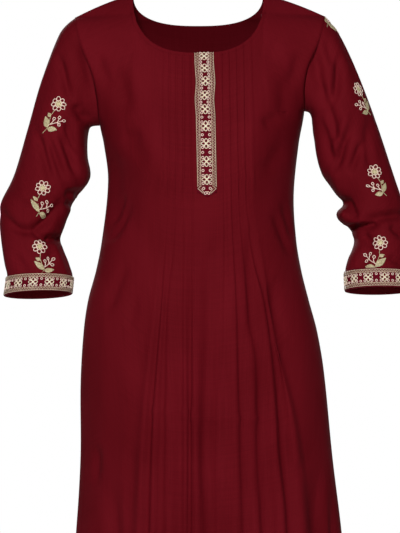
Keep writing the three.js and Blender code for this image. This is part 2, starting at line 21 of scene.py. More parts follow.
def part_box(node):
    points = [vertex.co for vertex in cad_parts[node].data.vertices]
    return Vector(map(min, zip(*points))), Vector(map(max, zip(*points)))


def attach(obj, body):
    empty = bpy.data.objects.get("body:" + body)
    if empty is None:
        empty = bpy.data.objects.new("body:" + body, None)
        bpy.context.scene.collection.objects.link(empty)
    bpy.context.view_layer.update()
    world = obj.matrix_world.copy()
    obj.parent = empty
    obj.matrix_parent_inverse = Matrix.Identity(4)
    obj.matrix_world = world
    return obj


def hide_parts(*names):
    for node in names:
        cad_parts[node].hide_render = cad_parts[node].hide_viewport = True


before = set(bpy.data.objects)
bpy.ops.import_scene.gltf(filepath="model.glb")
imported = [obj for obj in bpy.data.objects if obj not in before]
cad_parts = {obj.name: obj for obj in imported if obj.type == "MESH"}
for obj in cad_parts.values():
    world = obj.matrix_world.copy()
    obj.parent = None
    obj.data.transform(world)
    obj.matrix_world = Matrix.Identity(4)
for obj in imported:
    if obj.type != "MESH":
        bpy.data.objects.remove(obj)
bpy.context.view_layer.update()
for name in sorted(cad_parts):
    low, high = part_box(name)
    wide, deep, tall = 1000 * (high - low)
    print(f"{name}: {wide:.0f} x {deep:.0f} x {tall:.0f} mm")

# %% [markdown]
# ## The camera
#
# The garment is looked at level from the front, from far enough away that its sides run nearly straight.
# A long lens gives that. The view is 853 mm high, from the shoulders to the thigh, so the hem is below it.

# %% The camera
CAMERA_DISTANCE = 4.0
CAMERA_DOWN = 0.436
VIEW_HEIGHT = 0.853
SENSOR = 36.0

camera = bpy.data.objects.new("camera", bpy.data.cameras.new("camera"))
camera.data.sensor_width = SENSOR
camera.data.lens = SENSOR * CAMERA_DISTANCE / VIEW_HEIGHT
camera.location = (0, -CAMERA_DISTANCE, -CAMERA_DOWN)
camera.rotation_euler = (math.radians(90), 0, 0)
bpy.context.scene.collection.objects.link(camera)
bpy.context.scene.camera = camera
print(f"lens {camera.data.lens:.0f} mm")

# %% [markdown]
# ## The garment's sizes
#
# Sizes are in millimetres, as a cutter's are, and become metres only when a mesh is made. A height is
# "down": the distance below the high points of the shoulder seams. The wearer faces -Y, so LEFT is the
# side on the viewer's left, where X is below zero. Each table has a row for a height or a ring.

# %% The body's sizes
MM = 0.001
KAMEEZ_LENGTH = 1040
SLIT_TOP = 741
SLIT_HALF = 16  # half of a slit's gape at the hem
SEAM = 0.3  # the gap between pieces that are sewn together
NECK_X = -3
NECK_HALF = 104
NECK_FRONT = 101
NECK_BACK = 46
NECK_SQUARE = 2.6  # the neckline's roundness: 2 is an ellipse, more is squarer
SHOULDER_X = 200
SHOULDER_BEND = 0.3
PLACKET_HALF = 15.2
PLACKET_END = 320
PLACKET_TIP = 328
TUCK_END = 326
ROLL = 150  # how far down the cloth still rolls over from the shoulder seam
ROLL_SHARPNESS = 0.62
ARMHOLE_BOW = 52  # how far the armhole's edge stands out at the middle of its height
ARMHOLE_SQUARE = 2.4
ARMHOLE_FOOT = (0.4, 0.75)  # where the armhole's foot begins, as shares of its height
EDGE_BLUR = tuple(range(-30, 31, 3))
EDGE_STRIP = (0.93, 1.0)  # the strip along the edge that isn't blurred, as shares of the half width
# How square the body's section is, how steeply it closes at the side, and where that starts or ends.
CHEST = {"square": 2.6, "close": 0.85, "from": -110}
WAIST = {"square": 2.3, "close": 0.5, "to": 20}
BUST = {"x": 88, "down": 262, "width": 50, "height": 62, "out": 13}

# %% [markdown]
# The side edges and the depths are tables, since a body's outline follows no simple formula. The two sides
# differ a little, as they do in worn cloth, so each has its own.

# %% The body's outline and depth
# How far the side edge lies out at each height: (down, x).
LEFT = {
    "sign": -1, "shoulder": 38, "underarm": 211,
    "edge": [(38, 200), (83, 190), (131, 172), (170, 164), (211, 160), (240, 154), (298, 147), (394, 157),
             (442, 166), (490, 179), (538, 186), (620, 191), (741, 191), (858, 198), (1040, 211)],
}
RIGHT = {
    "sign": 1, "shoulder": 36, "underarm": 188,
    "edge": [(36, 200), (80, 188), (120, 172), (155, 166), (188, 167), (240, 158), (322, 150), (394, 154),
             (442, 162), (490, 174), (538, 187), (602, 198), (741, 212), (858, 226), (1040, 242)],
}
# How far the cloth stands in front of the side seams' plane, and behind it: (down, out).
DEPTH = {
    "front": [(0, 80), (93, 88), (150, 102), (210, 117), (270, 124), (330, 118), (400, 110), (470, 112),
              (540, 118), (600, 122), (680, 125), (760, 127), (1040, 134)],
    "back": [(0, 74), (93, 96), (150, 104), (210, 103), (270, 97), (330, 87), (400, 82), (470, 93),
             (540, 112), (600, 123), (680, 129), (760, 130), (1040, 137)],
}
for name, side in (("left", LEFT), ("right", RIGHT)):
    print(f"{name}: the armhole is {side['underarm'] - side['shoulder']} mm high")

# %% [markdown]
# ## Curves through the tables
#
# A pattern cutter joins a few marks with a French curve. `follow` does that: it runs a smooth curve
# through a table's rows. All of these helpers work on whole arrays of points at once, which is what keeps
# a fine cloth quick to make.

# %% Curves through tables
def mix(a, b, share):
    """The place at a share of the way from a to b."""
    return a + (b - a) * share


def smooth(value, low, high):
    """0 below low, 1 above high, and a soft rise between them."""
    share = np.clip((np.asarray(value, float) - low) / (high - low), 0, 1)
    return share * share * (3 - 2 * share)


def follow(rows, station):
    """The second column of a table at a station between its rows, on a smooth curve through them."""
    at, value = np.array(rows, float).T
    after, before = np.minimum(np.arange(len(at)) + 1, len(at) - 1), np.maximum(np.arange(len(at)) - 1, 0)
    slope = (value[after] - value[before]) / (at[after] - at[before])
    place = np.clip(station, at[0], at[-1])
    i = np.clip(np.searchsorted(at, place, side="right") - 1, 0, len(at) - 2)
    span = at[i + 1] - at[i]
    t = (place - at[i]) / span
    bends = t * (1 - t) ** 2 * slope[i] - t * t * (1 - t) * slope[i + 1]
    return mix(value[i], value[i + 1], t * t * (3 - 2 * t)) + span * bends


print(f"the body is {2 * follow(LEFT['edge'], 298):.0f} mm wide at the waist")

# %% [markdown]
# The seams come next: the side edges, the shoulder seams and the neckline, each as a height or a distance
# for any place across the body.

# %% The body's edges
def by_side(x, left, right):
    return np.where(np.asarray(x) < NECK_X, left, right)


def edge_x(x, down):
    """How far out the side seam lies, on the side that a place is on."""
    return by_side(x, follow(LEFT["edge"], down), follow(RIGHT["edge"], down))


def shoulder_drop(x):
    """How far the shoulder seam has dropped at a place across: nothing inside the neck points."""
    neck = NECK_HALF + by_side(x, -1, 1) * NECK_X
    out = np.clip((np.abs(x) - neck) / (SHOULDER_X - neck), 0, 1)
    return by_side(x, LEFT["shoulder"], RIGHT["shoulder"]) * mix(out, out * out, SHOULDER_BEND)


def top_edge(x, neck_depth):
    """The top of a panel: its neckline, or the shoulder seam outside it."""
    across = np.minimum(np.abs(x - NECK_X) / NECK_HALF, 1)
    neckline = neck_depth * (1 - across**NECK_SQUARE) ** (1 / NECK_SQUARE)
    return np.where(across >= 1, shoulder_drop(x), neckline)


def edge_depth(shoulder, underarm, down):
    """How far a panel's side edge stands out: it bows round the armhole, then gapes in the slit."""
    around = np.minimum(np.abs(2 * (down - shoulder) / (underarm - shoulder) - 1), 1)
    bow = ARMHOLE_BOW * np.sqrt(1 - around**ARMHOLE_SQUARE)
    return np.where(around < 1, bow, SLIT_HALF * smooth(down, SLIT_TOP, KAMEEZ_LENGTH))


print(f"the shoulder seam drops {float(shoulder_drop(-SHOULDER_X)):.0f} mm to its outer end")

# %% [markdown]
# `body_depth` turns all this into a surface, the smooth body of the kameez. At any height the body's
# section is a rounded square. Near its top it rolls over to the shoulder seam, and it swells at the bust.
# The armhole's edge bows outwards, and inside the panel that bow is blurred at the armhole's foot, so that
# no ledge runs in from the underarm.

# %% The body's surface
def body_depth(x, down, face):
    """How far the smooth body stands from the plane of the side seams, on its front or its back."""
    shoulder = by_side(x, LEFT["shoulder"], RIGHT["shoulder"])
    underarm = by_side(x, LEFT["underarm"], RIGHT["underarm"])
    out = np.clip(np.abs(x) / edge_x(x, down), 0, 1)
    below = smooth((down - underarm - CHEST["from"]) / (WAIST["to"] - CHEST["from"]), 0, 1)
    square = mix(CHEST["square"], WAIST["square"], below)
    across = (1 - out**square) ** mix(CHEST["close"], WAIST["close"], below)
    rolled = np.clip((down - shoulder_drop(x)) / ROLL, 0, 1)
    full = follow(DEPTH[face], down) * np.sin(np.pi / 2 * rolled) ** ROLL_SHARPNESS
    if face == "front":
        aside = (np.abs(x) - BUST["x"]) / BUST["width"]
        above = (down - BUST["down"]) / BUST["height"]
        full = full + BUST["out"] * np.exp(-aside * aside - above * above)
    edge = edge_depth(shoulder, underarm, down)
    blurred = sum(edge_depth(shoulder, underarm, down + step) for step in EDGE_BLUR) / len(EDGE_BLUR)
    foot = smooth(down, mix(shoulder, underarm, ARMHOLE_FOOT[0]), mix(shoulder, underarm, ARMHOLE_FOOT[1]))
    edge = mix(edge, blurred, foot * (1 - smooth(out, *EDGE_STRIP)))
    return np.maximum(edge + (full - edge) * across, 0)


print(f"the bust stands {float(body_depth(np.array(BUST['x']), BUST['down'], 'front')):.0f} mm forward")

# %% [markdown]
# ## From a grid of places to cloth
#
# Woven cloth is a grid of threads, so a grid is the natural mesh for it: rows run across the cloth and
# columns run down it, and a fold follows them. `create_grid` makes the flat cloth, and each of its points
# is then moved to its place on the body. The UV map is the distance along the cloth, in metres, so that
# the weave keeps its size. Solidify gives the cloth its thickness, inwards, so that the outside stays where
# the model has it. A tube, such as a sleeve, is a grid whose first and last columns meet in a seam.

# %% Cloth from a grid
CLOTH = 0.9  # the cloth's thickness, with a little body so that its edges show
MEETS = 0.01  # columns or ends that lie closer than this are one


def outwards(points):
    """The outward direction at each point of a grid. A tube's first and last columns share theirs."""
    along = np.gradient(points, axis=0)
    across = np.gradient(points, axis=1)
    if np.allclose(points[:, 0], points[:, -1], atol=MEETS):
        across[:, 0] = across[:, -1] = (points[:, 1] - points[:, -2]) / 2
    normal = np.cross(along, across)
    return normal / np.maximum(np.linalg.norm(normal, axis=2, keepdims=True), 1e-9)


def flat_lengths(points, axis):
    """Each point's distance along the cloth from its first row or column."""
    steps = np.linalg.norm(np.diff(points, axis=axis), axis=2)
    start = np.zeros_like(np.take(steps, [0], axis=axis))
    return np.concatenate([start, np.cumsum(steps, axis=axis)], axis=axis)


def cloth(name, points, thickness=CLOTH):
    """An object of cloth from a grid of places in millimetres, with its UV map in metres of cloth."""
    rows, columns = points.shape[:2]
    across, along = flat_lengths(points, 1) * MM, flat_lengths(points, 0) * MM
    bm = bmesh.new()
    uv = bm.loops.layers.uv.new("cloth")
    bmesh.ops.create_grid(bm, x_segments=columns - 1, y_segments=rows - 1, size=1)
    spots = {}
    for vert in bm.verts:
        spots[vert] = (round((1 - vert.co.y) / 2 * (rows - 1)), round((1 + vert.co.x) / 2 * (columns - 1)))
    middle = columns // 2
    for face in bm.faces:
        face.smooth = True
        for loop in face.loops:
            i, j = spots[loop.vert]
            loop[uv].uv = (across[i, j] - across[i, middle], along[i, j])
    for vert, (i, j) in spots.items():
        vert.co = points[i, j] * MM
    if np.allclose(points[:, 0], points[:, -1], atol=MEETS):
        bmesh.ops.remove_doubles(bm, verts=bm.verts, dist=2 * MEETS * MM)
    mesh = bpy.data.meshes.new(name)
    bm.to_mesh(mesh)
    bm.free()
    made = bpy.data.objects.new(name, mesh)
    bpy.context.scene.collection.objects.link(made)
    shell = made.modifiers.new("thickness", "SOLIDIFY")
    shell.thickness = thickness * MM
    shell.offset = -1
    area = sum(polygon.area for polygon in mesh.polygons)
    print(f"{name}: {rows} x {columns} points, {area:.3f} square metres of cloth")
    return made


# %% [markdown]
# ## Folds
#
# A fold in worn cloth is a soft trough or ridge that follows a line, is deepest along its middle and
# fades out at its ends. A crease pressed in by packing is sharper. Each is given as a line of places
# on the garment as (x, down), a width, and a depth inwards, below zero for a ridge. `creased`
# adds them all to a grid, on the side of it that faces the front or the back.

# %% Fold helpers
CREASE_ROUND = 3.0  # a pressed crease is rounded this far from its line
FADE = 0.35  # the share of a fold's length over which each end fades out
TURNED = 0.45  # how far cloth must face the viewer before a fold is at its full depth


def fold(line, width, depth, sharp=False, start=0.0, end=0.0, slack=1.0):
    """One fold. start and end are the share of its depth that it keeps at its two ends.

    slack is how many times wider it is on the side of larger x, when its line runs down.
    """
    return {"line": line, "width": width, "depth": depth, "sharp": sharp, "start": start, "end": end,
            "slack": slack}


def rounded(marks):
    """A line of marks with its corners cut, as a fold in cloth never turns sharply."""
    first, last = marks[:1], marks[-1:]
    near, far = mix(marks[:-1], marks[1:], 0.25), mix(marks[:-1], marks[1:], 0.75)
    return np.concatenate([first, np.stack([near, far], axis=1).reshape(-1, 2), last])


def fold_depth(one, x, down):
    """How deep one fold is at each place."""
    marks = rounded(rounded(np.array(one["line"], float)))
    lengths = np.linalg.norm(np.diff(marks, axis=0), axis=1)
    before = np.concatenate([[0], np.cumsum(lengths)])
    best = np.full(np.shape(x), np.inf)
    share = np.zeros(np.shape(x))
    width = np.full(np.shape(x), float(one["width"]))
    for k, (start, end) in enumerate(zip(marks[:-1], marks[1:])):
        way = (end - start) / lengths[k]
        reach = np.clip((x - start[0]) * way[0] + (down - start[1]) * way[1], 0, lengths[k])
        off = np.hypot(x - start[0] - reach * way[0], down - start[1] - reach * way[1])
        share = np.where(off < best, (before[k] + reach) / before[-1], share)
        beyond = way[1] * (x - start[0]) > way[0] * (down - start[1])
        width = np.where(off < best, one["width"] * np.where(beyond, one["slack"], 1), width)
        best = np.minimum(off, best)
    rises = mix(one["start"], 1, smooth(share, 0, FADE)) * mix(one["end"], 1, smooth(1 - share, 0, FADE))
    if one["sharp"]:
        best = np.hypot(best, CREASE_ROUND) - CREASE_ROUND
        return one["depth"] * rises * np.exp(-best / width)
    return one["depth"] * rises * np.exp(-((best / width) ** 2))


trough = fold([(0, 0), (0, 90)], 8, 9)
beside_it = float(fold_depth(trough, np.array(8.0), np.array(45.0)))
print(f"a fold 9 mm deep is {beside_it:.1f} mm deep at its side")

# %% [markdown]
# A fold pushes the cloth in along its own outward direction. Low uneven waves go over all of the cloth as
# well, because no worn cloth is quite smooth between its folds.

# %% Folds and waves in a grid
def creased(points, front_folds, back_folds=(), reach=0.0):
    """A grid with its folds pressed in. Each fold is on the side that faces -Y, or on the one behind.

    reach is how far round the edge, out of sight, the folds carry on.
    """
    normal = outwards(points)
    x, down = points[:, :, 0], -points[:, :, 2]
    depth = np.zeros(x.shape)
    for facing, folds in ((-1, front_folds), (1, back_folds)):
        seen = smooth(facing * normal[:, :, 1], -reach, TURNED - reach)
        for one in folds:
            depth += seen * fold_depth(one, x, down)
    return points - normal * depth[:, :, None]


def ripples(x, down, size, seed, count=14):
    """Low uneven waves over the cloth, longer down it than across, that catch the light."""
    chance = np.random.default_rng(seed)
    total = np.zeros(np.shape(x))
    for _ in range(count):
        wide, tall = chance.uniform(34, 95), chance.uniform(160, 420)
        lean, phase = chance.uniform(-1, 1), chance.uniform(0, 2 * np.pi)
        total += np.sin(2 * np.pi * (x / wide + lean * down / tall) + phase)
    return size * total / math.sqrt(count)


# %% [markdown]
# ## The front panel
#
# The front carries ten pintucks, five on each side of the band. A pintuck is a fold of a few millimetres
# stitched down along its length, so its cloth stands up like a step and slopes back behind it. Below the
# stitching each is let go and opens into a pleat. The mesh has a column on the edge of each tuck, and one
# at its foot, and all columns lean and spread with the cloth as the threads do.

# %% The tucks' thread lines
# Where each tuck runs at six heights: the neckline, the release, the waist, the hip, the thigh, the hem.
STATIONS = (90, TUCK_END, 400, 500, 700, KAMEEZ_LENGTH)
TUCKS_LEFT = [
    (-60, -60, -65, -74, -95, -110),
    (-49, -50, -53, -60, -74, -80),
    (-38, -38, -40, -50, -53, -57),
    (-27, -26, -25, -26, -26, -28),
    (-16, -14, -12, -12, -12, -12),
]
TUCKS_RIGHT = [
    (34, 36, 37, 36, 33, 31),
    (45, 48, 51, 56, 60, 70),
    (56, 60, 65, 78, 93, 108),
    (68, 71, 80, 102, 125, 140),
    (79, 82, 95, 112, 152, 188),
]
CENTRE = (6, 11, 10, 9, 9, 9)


def line_x(marks, down):
    """Where a thread line runs at a height, from its marks at the stations."""
    return follow(list(zip(STATIONS, marks)), down)


print(f"the outer tucks are {TUCKS_RIGHT[-1][0] - TUCKS_LEFT[0][0]} mm apart at the neckline")

# %% [markdown]
# A column is a line down the cloth: its place on the top edge, and a function that gives its x at any
# height. The columns between the side edge and the tucks start along the shoulder seam and the neckline,
# and settle by the bust to an even spread that is finer towards the side, where the body turns away.

# %% Columns beside and between the tucks
SIDE_COLUMNS = 30
SETTLE = (60, 300)  # from where to where the side columns go over to their even spread
NECK_CROWDING = 1.8  # above 1, columns are closer at the neck's corner, where the neckline is steep


def top_x(column):
    return float(column(np.array(0.0)))


def side_columns(sign, inner):
    """Columns from the side edge in to the outermost tuck: (x on the top edge, x at a height)."""
    neck = NECK_HALF + sign * NECK_X
    inner_top = abs(top_x(inner))
    made = []
    for k in range(SIDE_COLUMNS):
        share = k / SIDE_COLUMNS
        if share < 0.5:
            top = mix(SHOULDER_X, neck, share * 2)
        else:
            top = neck - (neck - inner_top) * (share * 2 - 1) ** NECK_CROWDING
        start = (top - inner_top) / (SHOULDER_X - inner_top)
        settled = math.cos(math.pi / 2 * share)

        def x_at(down, start=start, settled=settled):
            out = mix(start, settled, smooth(down, *SETTLE))
            edge = follow((LEFT if sign < 0 else RIGHT)["edge"], down)
            return sign * mix(np.abs(inner(down)), edge, out)

        made.append((sign * top, x_at))
    return made


def gap_columns(first, second, shares):
    """Columns between two thread lines, at the given shares of the way."""
    def between(share):
        return lambda down: mix(first(down), second(down), share)

    return [(top_x(between(share)), between(share)) for share in shares]


print(f"{SIDE_COLUMNS} columns on each side of the tucks")

# %% [markdown]
# Across a tuck the cloth is highest on the tuck's own line and falls to the panel within a third of the
# way to the next one. `TUCK_SHARES` holds the columns' places on the way, and `TUCK_HEIGHTS` how much of
# the tuck's height each has. The tucks face away from the band, so the right side runs the other way.

# %% The front's columns
TUCK_SHARES = (0, 0.15, 0.31, 0.5, 0.68, 0.86, 0.96)
TUCK_HEIGHTS = (1, 0.5, 0.1, 0, 0, 0, 0)
BAND_COLUMNS = 8


def front_columns():
    """The front's columns, and how much of a tuck's height each has."""
    def line(marks):
        return lambda down: line_x(marks, down)

    def beside(offset):
        return lambda down: line_x(CENTRE, down) + offset

    left, right = [line(m) for m in TUCKS_LEFT], [line(m) for m in TUCKS_RIGHT]
    columns = side_columns(-1, left[0])
    heights = [0] * len(columns)
    for first, second in zip(left, left[1:]):
        columns += gap_columns(first, second, TUCK_SHARES)
        heights += TUCK_HEIGHTS
    columns += gap_columns(left[-1], beside(-PLACKET_HALF), (0, 0.18, 0.36, 0.6, 0.8))
    heights += [1, 0.5, 0.1, 0, 0]
    shares = np.arange(BAND_COLUMNS) / BAND_COLUMNS
    columns += gap_columns(beside(-PLACKET_HALF), beside(PLACKET_HALF), shares)
    heights += [0] * BAND_COLUMNS
    columns += gap_columns(beside(PLACKET_HALF), right[0], (0, 0.2, 0.4, 0.64, 0.82))
    heights += [0, 0, 0, 0.1, 0.5]
    for first, second in zip(right, right[1:]):
        columns += gap_columns(first, second, [0] + [1 - share for share in reversed(TUCK_SHARES[1:])])
        heights += [TUCK_HEIGHTS[0], *reversed(TUCK_HEIGHTS[1:])]
    columns += [(top_x(right[-1]), right[-1])]
    heights += [1]
    columns += side_columns(1, right[-1])[::-1]
    heights += [0] * SIDE_COLUMNS
    return columns, np.array(heights, float)


columns, tuck_heights = front_columns()
print(f"the front has {len(columns)} columns")

# %% [markdown]
# The rows start on the top edge, whose height changes from column to column. They even out on their way
# to the underarm and are level below the chest, as the cloth's own crosswise threads hang.

# %% Rows, and the smooth panel
ARM_ROWS = 54
EASE_ROWS = 14
LEVEL_ROWS = 186
EASE_END = 262


def panel_heights(tops, neck_depth):
    """How far down each row lies in each column: from the top edge to the underarm, then level."""
    top = top_edge(tops, neck_depth)
    underarm = mix(LEFT["underarm"], RIGHT["underarm"], (tops + SHOULDER_X) / (2 * SHOULDER_X))
    arm = (1 - np.cos(np.pi * np.arange(ARM_ROWS + 1) / ARM_ROWS)) / 2
    ease = np.arange(1, EASE_ROWS + 1) / EASE_ROWS
    level = np.linspace(EASE_END, KAMEEZ_LENGTH, LEVEL_ROWS + 1)[1:]
    return np.concatenate([
        mix(top[None], underarm[None], arm[:, None]),
        mix(underarm[None], EASE_END, ease[:, None]),
        np.repeat(level[:, None], len(tops), axis=1),
    ])


def panel(columns, face, neck_depth):
    """The smooth panel: its points, and their x and heights."""
    tops = np.array([top for top, _ in columns])
    down = panel_heights(tops, neck_depth)
    x = np.column_stack([x_at(down[:, j]) for j, (_, x_at) in enumerate(columns)])
    x[0] = tops
    depth = body_depth(x, down, face) * (-1 if face == "front" else 1)
    return np.stack([x, depth, -down], axis=2)


front_smooth = panel(columns, "front", NECK_FRONT)
print(f"the front has {front_smooth.shape[0]} rows")

# %% [markdown]
# Below their stitching the tucks open into pleats. A pleat is high beside its old fold and low past it,
# and rises slowly again to the next, so its height is a soft saw tooth between thread lines. A few keep
# the pressed line of the tuck all the way down. No two pleats are alike, so each has its own share.

# %% The released pleats
PLEAT_RISE = 4.2
PLEATS_OPEN = 740  # the height by which they stand out fully
PLEAT_HALF = 9  # half the width of a pleat's step at the hem
TUCK_HALF = 1.2  # and at the release
PLEAT_SHARES = {"left": (0.8, 1.0, 0.6, 0.7, 1.1), "right": (0.2, 0.9, 0.8, 1.4, 1.1)}
PLEAT_WIDTHS = {"left": (1.5, 0.9, 1.2, 0.8, 0.9), "right": (1.0, 0.8, 1.5, 1.0, 1.7)}
BAND_DIP = -0.3  # how the cloth lies below the band, between the two sides' pleats


def pleat_heights(x, down):
    """How far the released pleats stand out, row by row."""
    height = np.zeros(x.shape)
    for i in np.flatnonzero(down[:, 0] > TUCK_END):
        d = down[i, 0]
        spread = mix(TUCK_HALF, PLEAT_HALF, float(smooth(d, TUCK_END, KAMEEZ_LENGTH)))
        marks = [(x[i, 0], 0.0)]
        for tuck, share, wide in zip(TUCKS_LEFT, PLEAT_SHARES["left"], PLEAT_WIDTHS["left"]):
            at = float(line_x(tuck, d))
            marks += [(at - spread * wide, -share), (at + spread * wide, share)]
        marks.append((float(line_x(CENTRE, d)), BAND_DIP))
        for tuck, share, wide in zip(TUCKS_RIGHT, PLEAT_SHARES["right"], PLEAT_WIDTHS["right"]):
            at = float(line_x(tuck, d))
            marks += [(at - spread * wide, share), (at + spread * wide, -share)]
        marks.append((x[i, -1], 0.0))
        at, rise = np.array(marks).T
        k = np.clip(np.searchsorted(at, x[i], side="right") - 1, 0, len(at) - 2)
        t = np.clip((x[i] - at[k]) / np.maximum(at[k + 1] - at[k], 1e-6), 0, 1)
        height[i] = mix(rise[k], rise[k + 1], t * t * (3 - 2 * t))
    return PLEAT_RISE * smooth(down, TUCK_END, PLEATS_OPEN) * height


skirt = pleat_heights(front_smooth[:, :, 0], -front_smooth[:, :, 2])
print(f"at the hem the pleats go from {skirt[-1].min():.1f} to {skirt[-1].max():.1f} mm")

# %% [markdown]
# A stitched tuck stands up by its full height from just under the neckline down to its release. Below
# that, the iron has left some of its step in the cloth, more in some tucks than in others.

# %% The tucks' steps
TUCK_RISE = 1.8
TUCK_START = 9
TUCK_LETS_GO = (TUCK_END - 16, TUCK_END + 10)
PRESSED_CHANGE = (420, 760)  # from where to where the release's share goes over to the hem's
# How much of each tuck's step is still pressed in below its release, at the release and at the hem.
PRESSED_LEFT = ((0.1, 0.1), (0.15, 0.7), (0.2, 0.2), (0.35, 0.1), (0.8, 0.6))
PRESSED_RIGHT = ((0.3, 0.0), (0.8, 0.0), (0.2, 0.0), (0.15, 0.3), (0.1, 0.0))


def tuck_steps(down):
    """How high each column of a tuck stands at each height."""
    pressed = np.ones(down.shape)
    for crest, (at_release, at_hem) in zip(np.flatnonzero(tuck_heights == 1), PRESSED_LEFT + PRESSED_RIGHT):
        near = slice(max(crest - 2, 0), crest + 3)
        kept = mix(at_release, at_hem, smooth(down[:, near], *PRESSED_CHANGE))
        let_go = smooth(down[:, near], *TUCK_LETS_GO)
        pressed[:, near] = mix(1.0, kept, let_go)
    below_neck = smooth(down - down[:1], 0, TUCK_START)
    return TUCK_RISE * tuck_heights[None] * pressed * below_neck


print(f"{np.count_nonzero(tuck_heights == 1)} tucks, {TUCK_RISE} mm high")

# %% [markdown]
# Packing creases run across the front at the bust, the waist and the hip. Below the bust the cloth is
# drawn in at both sides, and the skirt falls from there in long soft troughs. Short folds run from the
# underarms and the waist, where a body pulls at the cloth.

# %% The front's folds
FRONT_FOLDS = [
    fold([(-108, 209), (-40, 207), (46, 212), (140, 219)], 8.1, -2.4, sharp=True),
    fold([(-78, 451), (10, 449), (78, 449)], 7.2, -1.4, sharp=True),
    fold([(-87, 660), (-15, 661)], 6, -3.2, sharp=True, end=0.5),
    fold([(-10, 672), (60, 673), (134, 670)], 6, -3.6, sharp=True, start=0.5),
    fold([(-76, 296), (-14, 298)], 7.2, -1.6, sharp=True),
    fold([(34, 297), (98, 299)], 7.2, -1.6, sharp=True),
    fold([(14, 420), (14, 560), (9, 740), (17, 830), (20, 1040)], 9, 8.8, start=0.5, end=1, slack=2),
    fold([(78, 390), (80, 470), (81, 580)], 8.5, 7.5, start=0.4, slack=1.6),
    fold([(96, 560), (94, 640), (92, 740), (101, 820), (110, 1040)], 8, 7.5, start=0.3, end=1, slack=1.5),
    fold([(118, 470), (122, 560), (126, 640), (129, 740), (134, 830)], 8.5, 7.2, start=0.4, slack=1.5),
    fold([(-146, 232), (-145, 310), (-144, 410)], 38, 12),
    fold([(-150, 520), (-158, 700), (-170, 1040)], 42, 9, end=1),
    fold([(152, 736), (153, 780)], 6.3, 4.5),
    fold([(181, 736), (186, 850), (196, 1040)], 12.6, 10, end=1),
    fold([(207, 767), (212, 860), (220, 1040)], 6.3, 5.9, end=1),
    fold([(-168, 714), (-172, 784)], 6.3, 5.2),
    fold([(-143, 750), (-136, 855), (-142, 1040)], 13.5, 10, end=1),
    fold([(-108, 690), (-112, 900)], 9, 4.5),
    fold([(-176, 860), (-182, 1040)], 7.2, 5.9, end=1),
    fold([(-62, 800), (-66, 1040)], 8.1, 3.4, end=1),
    fold([(52, 860), (56, 1040)], 8.1, 4.1, end=1),
    fold([(112, 344), (128, 380), (147, 426)], 7.2, 5.2),
    fold([(128, 330), (142, 372), (150, 400)], 5.4, 4.1),
    fold([(108, 452), (122, 520), (142, 566)], 8.1, 4.5),
    fold([(-109, 332), (-128, 368), (-146, 402)], 7.2, 5.2),
    fold([(-122, 318), (-138, 348), (-148, 372)], 5.4, 3.8),
    fold([(-112, 420), (-132, 470), (-150, 520)], 8.1, 4.8),
    fold([(-98, 470), (-112, 540)], 7.2, 3.4),
    fold([(-118, 222), (-100, 252), (-80, 286)], 13, 4.1),
    fold([(130, 236), (116, 268), (98, 300)], 12, 4.1),
    fold([(-166, 92), (-157, 124), (-140, 166)], 10, 6.5),
    fold([(-136, 112), (-122, 160), (-112, 204)], 14, 8),
    fold([(162, 84), (152, 122), (140, 168)], 10, 5.5),
    fold([(128, 124), (134, 170), (128, 214)], 12, 5),
    fold([(-140, 58), (-112, 84), (-96, 128)], 9, 2.3),
    fold([(140, 56), (116, 88), (104, 132)], 9, 2.3),
    fold([(-124, 226), (-106, 232), (-88, 232)], 10, 3),
    fold([(126, 196), (112, 208), (94, 214)], 9, 5),
]
print(f"{len(FRONT_FOLDS)} folds, the deepest {max(one['depth'] for one in FRONT_FOLDS)} mm")

# %% [markdown]
# The front is put together in layers: the smooth panel, the skirt's fullness with its pleats, the small
# puckers that the tucks' stitching draws up just above their ends, the low waves, the folds, and last the
# tucks themselves, which stay crisp because nothing is laid over them.

# %% Make the front
SKIRT_FULL = 3.0
SKIRT_OPENS = (400, 760)
SIDE_SHARE = (0.8, 1.0)  # the strip by the side seam where the fullness ends
CALM_STRIP = (0.86, 1.0)  # the strip by the side seam where the waves are lower
CALM = 0.7  # how much lower they are on the seam
FRONT_WAVES = (90, 200)  # from where to where down the front the waves begin
PUCKER_DOWN = 294
PUCKER_HALF = 9
PUCKER_RISE = 0.6
PUCKER_PITCH = 5.3


def waves_allowed(x, down, begin):
    """How much of the waves each place has: none at the top, and less beside the side seams."""
    return smooth(down, *begin) * (1 - CALM * smooth(np.abs(x) / edge_x(x, down), *CALM_STRIP))


def puckers(x, down):
    """Short upright ripples across the tucks, where the stitching has drawn the cloth up."""
    reach = np.exp(-(((down - PUCKER_DOWN) / PUCKER_HALF) ** 2))
    inside = smooth(x, -84, -70) * (1 - smooth(x, 86, 100))
    return PUCKER_RISE * reach * inside * np.sin(2 * np.pi * x / PUCKER_PITCH)


def make_front():
    """The front's cloth: the smooth panel with its folds, pleats, tucks, puckers and waves."""
    x, down = front_smooth[:, :, 0], -front_smooth[:, :, 2]
    normal = outwards(front_smooth)
    full = SKIRT_FULL * smooth(down, *SKIRT_OPENS) * (1 - smooth(np.abs(x) / edge_x(x, down), *SIDE_SHARE))
    waves = waves_allowed(x, down, FRONT_WAVES) * ripples(x, down, 0.5, seed=3)
    rise = full + pleat_heights(x, down) + puckers(x, down) + waves
    held = smooth(normal[:, :, 1] * -1, 0.1, 0.5)
    points = front_smooth + normal * (rise * held)[:, :, None]
    points = creased(points, FRONT_FOLDS)
    return points + normal * tuck_steps(down)[:, :, None]


front_points = make_front()
kameez_front = cloth("kameez_front_cloth", front_points)

# %% [markdown]
# ## The back panel
#
# The back is one plain panel with a shallow neckline. Its cloth is drawn in at the waist and falls over
# the seat in soft folds of its own. Its columns run the other way, from +X to -X, because seen from
# behind that is left to right, and the faces then point outwards.

